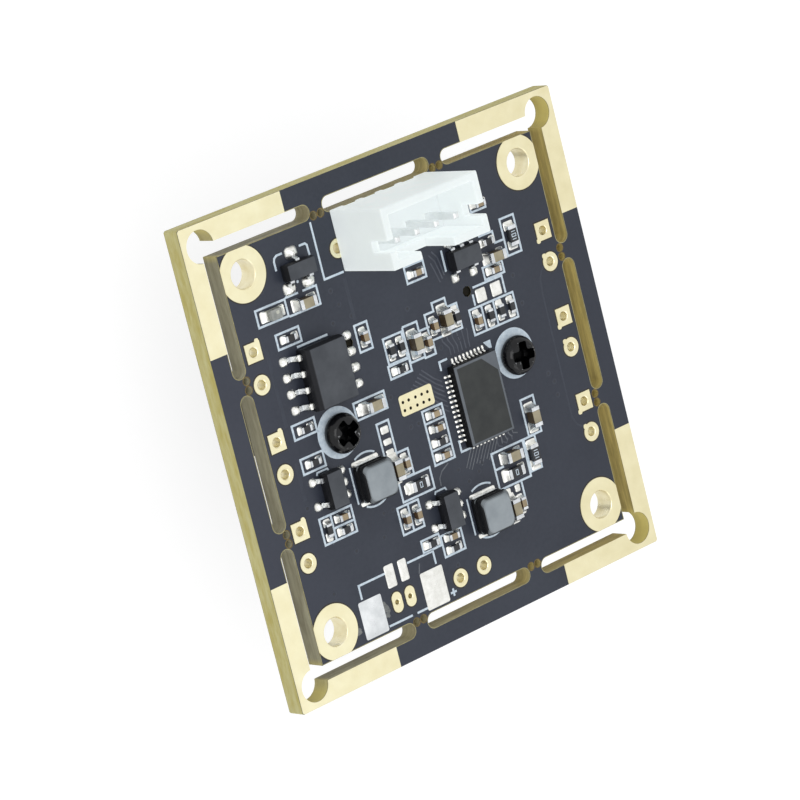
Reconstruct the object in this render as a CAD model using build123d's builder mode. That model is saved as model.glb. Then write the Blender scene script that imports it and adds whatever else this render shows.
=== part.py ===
"""Camera module: a square circuit board in its break-away frame, with the lens under it.

Sizes are in millimetres and +Z is up. The back of the board faces up. The origin lies in the
plane of the lens's front rim, on which the module stands, under the middle of the board.
"""

import os
from math import hypot

from build123d import *

os.makedirs("parts", exist_ok=True)

# Board and its break-away frame
board_side = 38.0
board_thick = 1.6
board_corner = 0.12
inner_side = 32.26
slot_wide = 1.2
corner_hole_r = 1.27
corner_hole_in = 1.73
tab_wide = 1.35
tabs_on_top_and_bottom = (-6.1, 6.1)
tabs_on_left_and_right = (-5.95, 6.15)
bite_hole_r = 0.3
bite_from_tab_middle = 0.36
bite_past_inner_edge = 0.15
lens_to_board = 14.5

# Holes for fixing and for wires
mount_pitch = 28.3
mount_hole_r = 1.14
edge_hole_x = 15.0
edge_hole_pitch = 2.54
edge_hole_groups = (-7.06, 0.0, 7.06)
edge_hole_r = 0.4
small_hole_sides = 8

# Cable header
pin_pitch = 2.0
pin_count = 4
footprint_pins = 6
pin_size = 0.5
pin_row_y = 13.25
pin_tip_high = 4.9
pin_tail = 1.6
header_long = 9.9
header_front_y = 11.4
header_back_y = 16.2
header_high = 6.1
header_wall = 0.65
header_floor = 1.5
pin_hole_r = 0.42
seat_gap = 0.05

# Chips and their leads
lead_thick = 0.16
controller_size = (4.5, 6.5, 0.75)
controller_place = (4.64, -2.0)
controller_pitch = 0.4
long_side_contact_count = 14
short_side_contact_count = 9
memory_size = (3.9, 4.9, 1.45)
memory_bevel = 0.3
memory_place = (-9.4, 4.85)
memory_pitch = 1.27
memory_span = 6.1
transistor_size = (2.8, 1.3, 1.0)
transistor_place = (-9.4, 13.05)
regulator_size = (2.9, 1.6, 1.1)
small_lead_pitch = 0.95
small_lead_reach = 0.6
mould_draft = 8.0

# Chip capacitors, resistors and coils: length, width, height, and the length of each metal end
capacitor_0603 = (1.6, 0.8, 0.8, 0.32)
resistor_0603 = (1.6, 0.8, 0.45, 0.3)
capacitor_0402 = (1.0, 0.5, 0.5, 0.22)
resistor_0402 = (1.0, 0.5, 0.35, 0.2)
coil_side = 3.0
coil_high = 1.4
coil_bevel = 0.15
coil_terminal = (2.4, 0.12, 0.35)

# Lens holder and the two screws that hold it from the back
holder_side = 14.6
holder_corner = 1.2
holder_base_high = 3.2
holder_high = 7.6
collar_r = 7.3
ear_reach = 9.2
ear_r = 2.2
ear_high = 4.0
sensor_room = 11.4
sensor_room_high = 2.6
peg_places = [(-6.2, 6.14), (6.13, 6.2)]
peg_r = 0.37
peg_play = 0.03
screw_r = 0.95
screw_head_r = 1.68
screw_head_high = 1.2
screw_long = 5.0
screw_hole_r = 1.1
recess_wide = 0.56
recess_long = 2.05
recess_deep = 0.75

# Lens
lens_r = 7.0
lens_long = 11.3
lens_head_high = 3.6
thread_r = 5.97
thread_play = 0.03
lock_ring_r = 7.2
lock_ring_high = 1.6
lock_ring_flats = 24
front_glass_r = 4.5
glass_bevel = 0.5
retainer_wide = 0.5
glass_play = 0.03
stop_r = 2.0
filter_side = 7.6
filter_thick = 0.3

# Sensor under the lens
sensor_size = (9.0, 8.0, 0.8)
sensor_glass_size = (7.6, 6.6, 0.5)
crystal_size = (3.2, 2.5, 0.8)
crystal_place = (6.0, -11.6)

# Heights of the board's two faces, and other sizes that follow from those above
front_z = lens_to_board
back_z = front_z + board_thick
inner_edge = inner_side / 2
slot_line = inner_edge + slot_wide / 2
corner_hole_at = board_side / 2 - corner_hole_in
mount_places = [(x * mount_pitch / 2, y * mount_pitch / 2) for x in (-1, 1) for y in (-1, 1)]
screw_places = [(-ear_reach, 0), (ear_reach, 0)]
footprint_places = [((i - (footprint_pins - 1) / 2) * pin_pitch, pin_row_y) for i in range(footprint_pins)]
pin_places = [((i - (pin_count - 1) / 2) * pin_pitch, pin_row_y) for i in range(pin_count)]
edge_hole_rows = [y + step * edge_hole_pitch / 2 for y in edge_hole_groups for step in (-1, 1)]
edge_hole_places = [(x, y) for x in (-edge_hole_x, edge_hole_x) for y in edge_hole_rows]

# Holes that stand alone: x, y
round_test_places = [(-1.3, -14.6), (1.22, -14.5)]
oval_test_places = [(-7.8, -14.15), (-6.45, -14.15)]
oval_test_hole_r = 0.22

# Chip parts on the back: x, y, turn about Z in degrees
capacitor_0603_places = [
    (-9.42, 10.4, 0),
    (-0.2, 4.1, 90),
    (3.2, 4.9, 90),
    (9.45, 8.0, 0),
    (-5.55, 0.95, 0),
    (-4.95, -4.45, 90),
    (9.35, -5.1, 90),
    (6.35, -7.3, 0),
    (5.3, -11.3, 90),
]
resistor_0603_places = [(11.7, 9.0, 90), (-3.1, -6.3, 0), (6.35, -8.65, 0), (8.65, -7.95, 90)]
capacitor_0402_places = [
    (-4.75, 6.1, 90),
    (1.1, 3.75, 90),
    (2.05, 4.75, 90),
    (6.4, 3.75, 90),
    (9.2, 7.0, 0),
    (-5.1, -8.45, 90),
    (-3.95, -8.45, 90),
    (6.3, -11.2, 90),
    (9.2, 12.35, 0),
    (1.65, 9.2, 0),
    (-3.85, -4.35, 90),
    (-10.9, -6.1, 0),
    (0, -1.65, 0),
    (0, -2.8, 0),
    (0, -5.0, 0),
    (-1.2, -11.2, 0),
]
resistor_0402_places = [
    (-11.5, 8.3, 0),
    (-2.5, 4.3, 90),
    (-1.5, 4.3, 90),
    (-2.05, 2.65, 0),
    (4.45, 4.7, 90),
    (7.75, 3.75, 90),
    (8.9, 3.75, 90),
    (10.0, 3.75, 90),
    (9.2, 9.25, 0),
    (-12.2, 1.35, 0),
    (-12.2, -1.3, 0),
    (-12.45, -6.6, 90),
    (-10.9, -7.15, 0),
    (0, -3.9, 0),
    (-3.25, -11.05, 0),
    (-1.2, -12.15, 0),
]
lamp_places = [(-12.45, 10.5, 0)]
coil_places = [(-7.4, -4.35, 0), (2.85, -10.65, 0)]
regulator_places = [(-11.35, -3.68, 90), (-1.1, -9.12, 90), (6.24, 8.98, 0)]

# Chip parts on the front, round the lens holder
front_capacitor_places = [(-5.6, -9.0, 0), (-3.2, -9.0, 0), (-8.6, -6.0, 90), (4.6, 9.0, 0)]


def save(part, name):
    """Name a finished piece and write its file."""
    part.label = name
    export_step(part, f"parts/{name}.step")


def placed(places, z=back_z, flip=0):
    """Places on a face of the board, each with its own turn."""
    return Locations(*[Location((x, y, z), (flip, 0, turn)) for x, y, turn in places])


def small_holes(radius, places):
    """Small drilled holes, each with a few flats that keep its facets few."""
    with Locations(*places):
        RegularPolygon(radius, small_hole_sides, major_radius=False, mode=Mode.SUBTRACT)


def cut_side_slots(turn, tabs):
    """The three slots along one side, and the bite holes beside its two tabs."""
    low, high = tabs
    stops = [(-corner_hole_at, low - tab_wide / 2), (low + tab_wide / 2, high - tab_wide / 2)]
    stops.append((high + tab_wide / 2, corner_hole_at))
    with Locations(Location((0, 0, 0), (0, 0, turn))):
        for start, end in stops:
            with Locations(((start + end) / 2, slot_line)):
                SlotOverall(end - start, slot_wide, mode=Mode.SUBTRACT)
        steps = (-bite_from_tab_middle, bite_from_tab_middle)
        bite_y = inner_edge + bite_past_inner_edge
        small_holes(bite_hole_r, [(tab + step, bite_y) for tab in tabs for step in steps])


def board_outline():
    """The routed outline with its slots, keyhole corners and drilled holes."""
    Rectangle(board_side, board_side)
    for turn in (0, 180):
        cut_side_slots(turn, tabs_on_top_and_bottom)
    cut_side_slots(90, tabs_on_left_and_right)
    cut_side_slots(270, [-tab for tab in reversed(tabs_on_left_and_right)])
    with GridLocations(2 * corner_hole_at, 2 * corner_hole_at, 2, 2):
        Circle(corner_hole_r, mode=Mode.SUBTRACT)
    with Locations(*mount_places):
        Circle(mount_hole_r, mode=Mode.SUBTRACT)
    with Locations(*screw_places):
        Circle(screw_hole_r, mode=Mode.SUBTRACT)
    small_holes(edge_hole_r, edge_hole_places + round_test_places)
    small_holes(oval_test_hole_r, oval_test_places)
    small_holes(pin_hole_r, footprint_places)
    small_holes(peg_r + peg_play, peg_places)


with BuildPart() as circuit_board:
    with BuildSketch(Plane.XY.offset(front_z)):
        board_outline()
    extrude(amount=board_thick)
    upright = circuit_board.edges().filter_by(Axis.Z)
    by_distance = upright.group_by(lambda edge: hypot(edge.center().X, edge.center().Y))
    chamfer(by_distance[-1], board_corner)

save(circuit_board.part, "circuit_board")


# Cable header: a moulded shroud, open at the top, with notched walls that key the plug
header_wide = header_back_y - header_front_y
header_middle_y = (header_back_y + header_front_y) / 2
notch_left = -2.05
notch_right = 1.25
notch_floor = 2.6
key_slot_low_y = 12.8
key_slot_high_y = 13.7
key_slot_floor = 4.1
drain_wide = 1.3
drain_high = 0.35
drain_deep = 0.9

header_low_z = back_z + seat_gap

with BuildPart() as header_housing:
    with BuildSketch(Plane.XY.offset(header_low_z)):
        with Locations((0, header_middle_y)):
            Rectangle(header_long, header_wide)
    extrude(amount=header_high - seat_gap)
    with Locations((0, header_middle_y, back_z + header_floor)):
        room = (header_long - 2 * header_wall, header_wide - 2 * header_wall, header_high)
        Box(*room, align=(Align.CENTER, Align.CENTER, Align.MIN), mode=Mode.SUBTRACT)
    with Locations(((notch_left + notch_right) / 2, header_front_y, back_z + notch_floor)):
        notch = (notch_right - notch_left, 2 * header_wall + 0.1, header_high)
        Box(*notch, align=(Align.CENTER, Align.CENTER, Align.MIN), mode=Mode.SUBTRACT)
    with Locations((0, (key_slot_low_y + key_slot_high_y) / 2, back_z + key_slot_floor)):
        key_slots = (2 * header_long, key_slot_high_y - key_slot_low_y, header_high)
        Box(*key_slots, align=(Align.CENTER, Align.CENTER, Align.MIN), mode=Mode.SUBTRACT)
    for x, y in pin_places:
        with Locations((x, header_back_y, header_low_z), (x, header_front_y, header_low_z)):
            Box(drain_wide, 2 * drain_deep, 2 * drain_high, mode=Mode.SUBTRACT)
        with Locations((x, y, back_z)):
            through = (pin_size, pin_size, 2 * header_floor)
            Box(*through, align=(Align.CENTER, Align.CENTER, Align.MIN), mode=Mode.SUBTRACT)
    outer_rim = header_housing.edges().group_by(Axis.Z)[-1]
    chamfer(outer_rim, 0.1)

with BuildPart() as header_pins:
    for x, y in pin_places:
        with BuildSketch(Plane.XY.offset(front_z - pin_tail)):
            with Locations((x, y)):
                Rectangle(pin_size, pin_size)
        extrude(amount=pin_tail + board_thick + pin_tip_high)
    tips = header_pins.faces().filter_by(Axis.Z).group_by(Axis.Z)
    chamfer(tips[0].edges() + tips[-1].edges(), 0.12)

save(header_housing.part, "header_housing")
save(header_pins.part, "header_pins")


def moulded_body(place, size, clear=0.1, turn=0):
    """A moulded chip body whose sides slope away from the parting line at half height."""
    x, y = place
    long, wide, high = size
    with BuildSketch(Plane(origin=(x, y, back_z + clear + (high - clear) / 2))) as parting:
        with Locations(Location((0, 0, 0), (0, 0, turn))):
            Rectangle(long, wide)
    extrude(parting.sketch, amount=(high - clear) / 2, both=True, taper=mould_draft)


def gull_wing(root_x, reach, exit_high, wide):
    """One bent lead, leaving a body's side at root_x towards +X and ending in a flat foot."""
    knee = root_x + 0.3 * reach
    foot = root_x + 0.55 * reach
    tip = root_x + reach
    with BuildSketch(Plane.XZ.offset(-wide / 2)) as profile:
        with BuildLine():
            Polyline(
                (root_x, exit_high),
                (knee, exit_high),
                (foot, lead_thick),
                (tip, lead_thick),
                (tip, 0),
                (foot - 0.4 * lead_thick, 0),
                (knee - 0.4 * lead_thick, exit_high - lead_thick),
                (root_x, exit_high - lead_thick),
                close=True,
            )
        make_face()
    extrude(profile.sketch, amount=wide)


def lead_row(place, turn, steps, root, reach, exit_high, wide):
    """Leads side by side along one edge of a body; turn says which edge."""
    x, y = place
    with BuildPart(mode=Mode.PRIVATE) as one_lead:
        gull_wing(root, reach, exit_high, wide)
    with Locations(Location((x, y, back_z), (0, 0, turn))):
        with Locations(*[(0, step, 0) for step in steps]):
            add(one_lead.part)


def centred_steps(count, pitch):
    """Places along an edge, the same distance apart and centred on it."""
    return [(i - (count - 1) / 2) * pitch for i in range(count)]


# Memory chip
with BuildPart() as memory_body:
    moulded_body(memory_place, memory_size)
    top_edges = memory_body.faces().sort_by(Axis.Z)[-1].edges()
    chamfer(top_edges.sort_by(Axis.X)[0], memory_bevel)

with BuildPart() as memory_leads:
    memory_exit = (memory_size[2] + 0.1) / 2 + lead_thick / 2
    memory_reach = (memory_span - memory_size[0]) / 2
    for side in (0, 180):
        steps = centred_steps(4, memory_pitch)
        lead_row(memory_place, side, steps, memory_size[0] / 2, memory_reach, memory_exit, 0.42)

save(memory_body.part, "memory_body")
save(memory_leads.part, "memory_leads")

# Small three-legged and five-legged chips
small_exit = 0.68

with BuildPart() as transistor_body:
    moulded_body(transistor_place, transistor_size)

with BuildPart() as transistor_leads:
    transistor_root = transistor_size[1] / 2
    lead_row(transistor_place, 90, [0], transistor_root, small_lead_reach, small_exit, 0.4)
    outer_pair = [-small_lead_pitch, small_lead_pitch]
    lead_row(transistor_place, 270, outer_pair, transistor_root, small_lead_reach, small_exit, 0.4)

with BuildPart() as regulator_bodies:
    for x, y, turn in regulator_places:
        moulded_body((x, y), regulator_size, turn=turn)

with BuildPart() as regulator_leads:
    regulator_root = regulator_size[1] / 2
    three = centred_steps(3, small_lead_pitch)
    for x, y, turn in regulator_places:
        three_side, two_side = (90, 270) if turn == 0 else (0, 180)
        lead_row((x, y), three_side, three, regulator_root, small_lead_reach, small_exit, 0.4)
        lead_row((x, y), two_side, outer_pair, regulator_root, small_lead_reach, small_exit, 0.4)

save(transistor_body.part, "transistor_body")
save(transistor_leads.part, "transistor_leads")
save(regulator_bodies.part, "regulator_bodies")
save(regulator_leads.part, "regulator_leads")

# Controller: a flat leadless body with a soldered land at each contact along its edges
with BuildPart() as controller_body:
    with Locations((*controller_place, back_z)):
        Box(*controller_size, align=(Align.CENTER, Align.CENTER, Align.MIN))
    chamfer(controller_body.faces().sort_by(Axis.Z)[-1].edges(), 0.05)

with BuildPart() as controller_joints:
    with BuildPart(mode=Mode.PRIVATE) as one_joint:
        joint_wide = 0.22
        with BuildSketch(Plane.XZ.offset(-joint_wide / 2)):
            with BuildLine():
                Polyline((0, 0), (0, 0.24), (0.56, 0.07), (0.56, 0), close=True)
            make_face()
        extrude(amount=joint_wide)
    edges = [
        (0, controller_size[0] / 2, long_side_contact_count),
        (90, controller_size[1] / 2, short_side_contact_count),
        (180, controller_size[0] / 2, long_side_contact_count),
        (270, controller_size[1] / 2, short_side_contact_count),
    ]
    for turn, out, count in edges:
        with Locations(Location((*controller_place, back_z), (0, 0, turn))):
            with Locations(*[(out, step, 0) for step in centred_steps(count, controller_pitch)]):
                add(one_joint.part)

save(controller_body.part, "controller_body")
save(controller_joints.part, "controller_joints")


def chip_middles(places, size, z=back_z, flip=0):
    """The ceramic middles of chip parts that share one size."""
    long, wide, high, end = size
    with placed(places, z, flip):
        Box(long - 2 * end, wide - 0.03, high - 0.03, align=(Align.CENTER, Align.CENTER, Align.MIN))


def chip_ends(places, size, z=back_z, flip=0):
    """The two metal ends of each of those chip parts."""
    long, wide, high, end = size
    with placed(places, z, flip):
        with Locations((-(long - end) / 2, 0, 0), ((long - end) / 2, 0, 0)):
            Box(end, wide, high, align=(Align.CENTER, Align.CENTER, Align.MIN))


with BuildPart() as large_capacitors:
    chip_middles(capacitor_0603_places, capacitor_0603)

with BuildPart() as large_capacitor_ends:
    chip_ends(capacitor_0603_places, capacitor_0603)

with BuildPart() as large_resistors:
    chip_middles(resistor_0603_places, resistor_0603)

with BuildPart() as large_resistor_ends:
    chip_ends(resistor_0603_places, resistor_0603)

with BuildPart() as small_capacitors:
    chip_middles(capacitor_0402_places, capacitor_0402)
    chip_middles(front_capacitor_places, capacitor_0402, front_z, 180)

with BuildPart() as small_capacitor_ends:
    chip_ends(capacitor_0402_places, capacitor_0402)
    chip_ends(front_capacitor_places, capacitor_0402, front_z, 180)

with BuildPart() as small_resistors:
    chip_middles(resistor_0402_places, resistor_0402)

with BuildPart() as small_resistor_ends:
    chip_ends(resistor_0402_places, resistor_0402)

save(large_capacitors.part, "large_capacitors")
save(large_capacitor_ends.part, "large_capacitor_ends")
save(large_resistors.part, "large_resistors")
save(large_resistor_ends.part, "large_resistor_ends")
save(small_capacitors.part, "small_capacitors")
save(small_capacitor_ends.part, "small_capacitor_ends")
save(small_resistors.part, "small_resistors")
save(small_resistor_ends.part, "small_resistor_ends")

# Indicator lamp: a clear lens moulded on a small carrier with two metal ends
lamp_long, lamp_wide, lamp_high = 1.6, 0.8, 0.6
lamp_carrier_high = 0.22
lamp_lens_long = 1.1

with BuildPart() as lamp_lens:
    with placed(lamp_places, back_z + lamp_carrier_high):
        lamp_lens_high = lamp_high - lamp_carrier_high
        Box(lamp_lens_long, lamp_wide, lamp_lens_high, align=(Align.CENTER, Align.CENTER, Align.MIN))

with BuildPart() as lamp_carrier:
    with placed(lamp_places):
        Box(lamp_long, lamp_wide, lamp_carrier_high, align=(Align.CENTER, Align.CENTER, Align.MIN))

save(lamp_lens.part, "lamp_lens")
save(lamp_carrier.part, "lamp_carrier")

# Power coils: a ferrite bobbin with a filled waist, and a metal terminal under two edges
with BuildPart() as coil_cores:
    with placed(coil_places):
        Box(coil_side, coil_side, coil_high, align=(Align.CENTER, Align.CENTER, Align.MIN))
    chamfer(coil_cores.edges().filter_by(Axis.Z), 0.35)
    chamfer(coil_cores.edges().group_by(Axis.Z)[-1], coil_bevel)
    terminal_long, terminal_thick, terminal_high = coil_terminal
    with placed(coil_places):
        with Locations((0, coil_side / 2, 0), (0, -coil_side / 2, 0)):
            Box(terminal_long, 2 * terminal_thick, 2 * terminal_high, mode=Mode.SUBTRACT)

with BuildPart() as coil_terminals:
    with placed(coil_places):
        with Locations((0, (coil_side - terminal_thick) / 2, 0), (0, (terminal_thick - coil_side) / 2, 0)):
            Box(terminal_long, terminal_thick, terminal_high, align=(Align.CENTER, Align.CENTER, Align.MIN))

save(coil_cores.part, "coil_cores")
save(coil_terminals.part, "coil_terminals")

# Lens holder: a square foot with two ears, a round threaded collar and two locating pegs
holder_low_z = front_z - holder_high
room_top_z = front_z - sensor_room_high
bore_r = thread_r + thread_play

with BuildPart() as lens_holder:
    with BuildSketch(Plane.XY.offset(front_z - ear_high)):
        with Locations(*screw_places):
            Circle(ear_r)
        Rectangle(2 * ear_reach, 2 * ear_r)
    extrude(amount=ear_high)
    with BuildSketch(Plane.XY.offset(front_z - holder_base_high)):
        Rectangle(holder_side, holder_side)
        chamfer(vertices(), holder_corner)
    extrude(amount=holder_base_high)
    with BuildSketch(Plane.XY.offset(holder_low_z)):
        Circle(collar_r)
    extrude(amount=holder_high)
    with BuildSketch(Plane.XY.offset(front_z)):
        with Locations(*peg_places):
            RegularPolygon(peg_r, small_hole_sides, major_radius=False)
    extrude(amount=board_thick - 0.2)
    with BuildSketch(Plane.XY.offset(holder_low_z)):
        Circle(bore_r)
    extrude(amount=holder_high - sensor_room_high, mode=Mode.SUBTRACT)
    with BuildSketch(Plane.XY.offset(room_top_z)):
        Rectangle(sensor_room, sensor_room)
    extrude(amount=sensor_room_high, mode=Mode.SUBTRACT)
    with BuildSketch(Plane.XY.offset(front_z)):
        with Locations(*screw_places):
            RegularPolygon(screw_r + thread_play, 16, major_radius=False)
    extrude(amount=board_thick - screw_long - 0.3, mode=Mode.SUBTRACT)

save(lens_holder.part, "lens_holder")

# Screws: pan heads with a cross recess, through the board into the holder's ears
with BuildPart() as holder_screws:
    with BuildPart(mode=Mode.PRIVATE) as one_screw:
        with BuildSketch(Plane.XZ):
            with BuildLine():
                Polyline(
                    (0, -screw_long),
                    (screw_r, -screw_long),
                    (screw_r, 0),
                    (screw_head_r, 0),
                    (screw_head_r, 0.5 * screw_head_high),
                    (0.72 * screw_head_r, screw_head_high),
                    (0, screw_head_high),
                    close=True,
                )
            make_face()
        revolve(axis=Axis.Z)
        with BuildSketch(Plane.XY.offset(screw_head_high)):
            Rectangle(recess_long, recess_wide)
            Rectangle(recess_wide, recess_long)
        extrude(amount=-recess_deep, taper=12, mode=Mode.SUBTRACT)
    for x, y in screw_places:
        with Locations((x, y, back_z)):
            add(one_screw.part)

save(holder_screws.part, "holder_screws")

# Lens barrel, turned about the lens axis: a wide head and a threaded body. Behind the front
# glass a well ends at the stop; the rest is closed.
stop_low_z = 3.2
well_floor_z = 4.6
glass_low_z = 1.95
retainer_low_z = 1.05
mouth_r = lens_r - 0.8

with BuildPart() as lens_barrel:
    with BuildSketch(Plane.XZ):
        with BuildLine():
            Polyline(
                (0, well_floor_z),
                (0, lens_long),
                (thread_r, lens_long),
                (thread_r, lens_head_high),
                (lens_r, lens_head_high),
                (lens_r, 0),
                (mouth_r, 0),
                (front_glass_r + glass_play, retainer_low_z),
                (front_glass_r + glass_play, stop_low_z),
                (stop_r, stop_low_z),
                (stop_r, well_floor_z),
                close=True,
            )
        make_face()
    revolve(axis=Axis.Z)

save(lens_barrel.part, "lens_barrel")

with BuildPart() as front_glass:
    with Locations((0, 0, glass_low_z)):
        Cylinder(front_glass_r, stop_low_z - glass_low_z, align=(Align.CENTER, Align.CENTER, Align.MIN))
    chamfer(front_glass.edges().group_by(Axis.Z)[0], glass_bevel)


def ring(low, high, inner, outer):
    """A plain ring about the lens axis."""
    with BuildSketch(Plane.XY.offset(low)) as section:
        Circle(outer)
        Circle(inner, mode=Mode.SUBTRACT)
    extrude(section.sketch, amount=high - low)


with BuildPart() as front_retainer:
    ring(retainer_low_z, glass_low_z, front_glass_r - retainer_wide, front_glass_r)

with BuildPart() as infrared_filter:
    with Locations((0, 0, lens_long)):
        Box(filter_side, filter_side, filter_thick, align=(Align.CENTER, Align.CENTER, Align.MIN))

with BuildPart() as lock_ring:
    with BuildSketch(Plane.XY.offset(holder_low_z - lock_ring_high)):
        RegularPolygon(lock_ring_r, lock_ring_flats)
        Circle(bore_r, mode=Mode.SUBTRACT)
    extrude(amount=lock_ring_high)

save(front_glass.part, "front_glass")
save(front_retainer.part, "front_retainer")
save(infrared_filter.part, "infrared_filter")
save(lock_ring.part, "lock_ring")

# Image sensor on the front of the board, facing down through the lens
with BuildPart() as sensor_package:
    with Locations((0, 0, front_z)):
        Box(*sensor_size, align=(Align.CENTER, Align.CENTER, Align.MAX))

with BuildPart() as sensor_glass:
    with Locations((0, 0, front_z - sensor_size[2])):
        Box(*sensor_glass_size, align=(Align.CENTER, Align.CENTER, Align.MAX))

with BuildPart() as crystal:
    with Locations((*crystal_place, front_z)):
        Box(*crystal_size, align=(Align.CENTER, Align.CENTER, Align.MAX))
    chamfer(crystal.edges().filter_by(Axis.Z), 0.3)

save(sensor_package.part, "sensor_package")
save(sensor_glass.part, "sensor_glass")
save(crystal.part, "crystal")
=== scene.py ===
"""Looks of the camera module: finishes, lands, solder, print and the fine forms that the solids leave out.

Places and sizes are written in millimetres in the row frame, and become metres where a mesh is made.
"""
from math import cos, hypot, pi, radians, sin, tau

import bmesh
import bpy
from mathutils import Matrix, Vector


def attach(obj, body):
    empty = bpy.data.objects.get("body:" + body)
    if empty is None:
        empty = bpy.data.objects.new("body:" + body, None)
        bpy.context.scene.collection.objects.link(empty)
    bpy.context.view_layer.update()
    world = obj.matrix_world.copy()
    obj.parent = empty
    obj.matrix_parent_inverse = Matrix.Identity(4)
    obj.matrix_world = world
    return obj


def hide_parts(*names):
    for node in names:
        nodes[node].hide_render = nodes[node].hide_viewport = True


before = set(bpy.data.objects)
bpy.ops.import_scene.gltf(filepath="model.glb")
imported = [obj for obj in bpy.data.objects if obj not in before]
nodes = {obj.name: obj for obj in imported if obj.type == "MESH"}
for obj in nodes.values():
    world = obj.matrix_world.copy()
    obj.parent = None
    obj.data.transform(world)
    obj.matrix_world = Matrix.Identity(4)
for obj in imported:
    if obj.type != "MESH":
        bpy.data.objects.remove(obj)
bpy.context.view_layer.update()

mm = 0.001

# The board, as the solids have it
front_z = 14.5
back_z = 16.1
frame_edge = 19.0
inner_edge = 16.13
slot_far_edge = 17.33
mask_set_back = 0.06
tab_half = 0.675
bite_r = 0.3
bite_from_tab = 0.36
bite_past_edge = 0.15
tabs_across = (-6.1, 6.1)
tabs_up = (-5.95, 6.15)
corner_hole_at = 17.27
corner_hole_r = 1.27
mount_at = 14.15
mount_hole_r = 1.14
screw_at = 9.2
edge_hole_x = 15.0
edge_hole_groups = (-7.06, 0.0, 7.06)
edge_hole_r = 0.4
edge_hole_half_pitch = 1.27
pin_hole_r = 0.42
via_hole_r = 0.22
mount_land_r = 2.17
edge_land_side = 1.5
edge_land_r = 0.775
spare_land_r = 0.75
pin_land_r = 0.7
wire_land_r = 0.73
key_mark_side = 0.4
clearance_wide = 0.13
clearance_out = 0.02
bite_rim_wide = 0.07
header_pins_x = (-3.0, -1.0, 1.0, 3.0)
header_spare_x = (-5.0, 5.0)
pin_row_y = 13.25
quarters = [(-1, -1), (-1, 1), (1, -1), (1, 1)]

# Thickness of what lies on the board's faces
land_thick = 0.035
print_thick = 0.022
trace_thick = 0.012
border_thick = 0.008
clearance_thick = 0.006


# Colours and materials

def linear(colour):
    """An sRGB colour, 0 to 255, as the linear values that shaders take."""
    out = []
    for value in colour:
        share = value / 255
        out.append(share / 12.92 if share <= 0.04045 else ((share + 0.055) / 1.055) ** 2.4)
    return (*out, 1.0)


MASK_DARK = (42, 47, 58)
MASK_LIGHT = (50, 55, 66)
EDGE_DARK = (212, 198, 116)
EDGE_LIGHT = (230, 222, 158)
WALL_LEFT = (194, 190, 164)
WALL_RIGHT = (216, 198, 124)
# Painted light: the slot walls are lightened towards this colour near the corner holes.
LIT_CORNER_WALL = (236, 222, 138)


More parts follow.
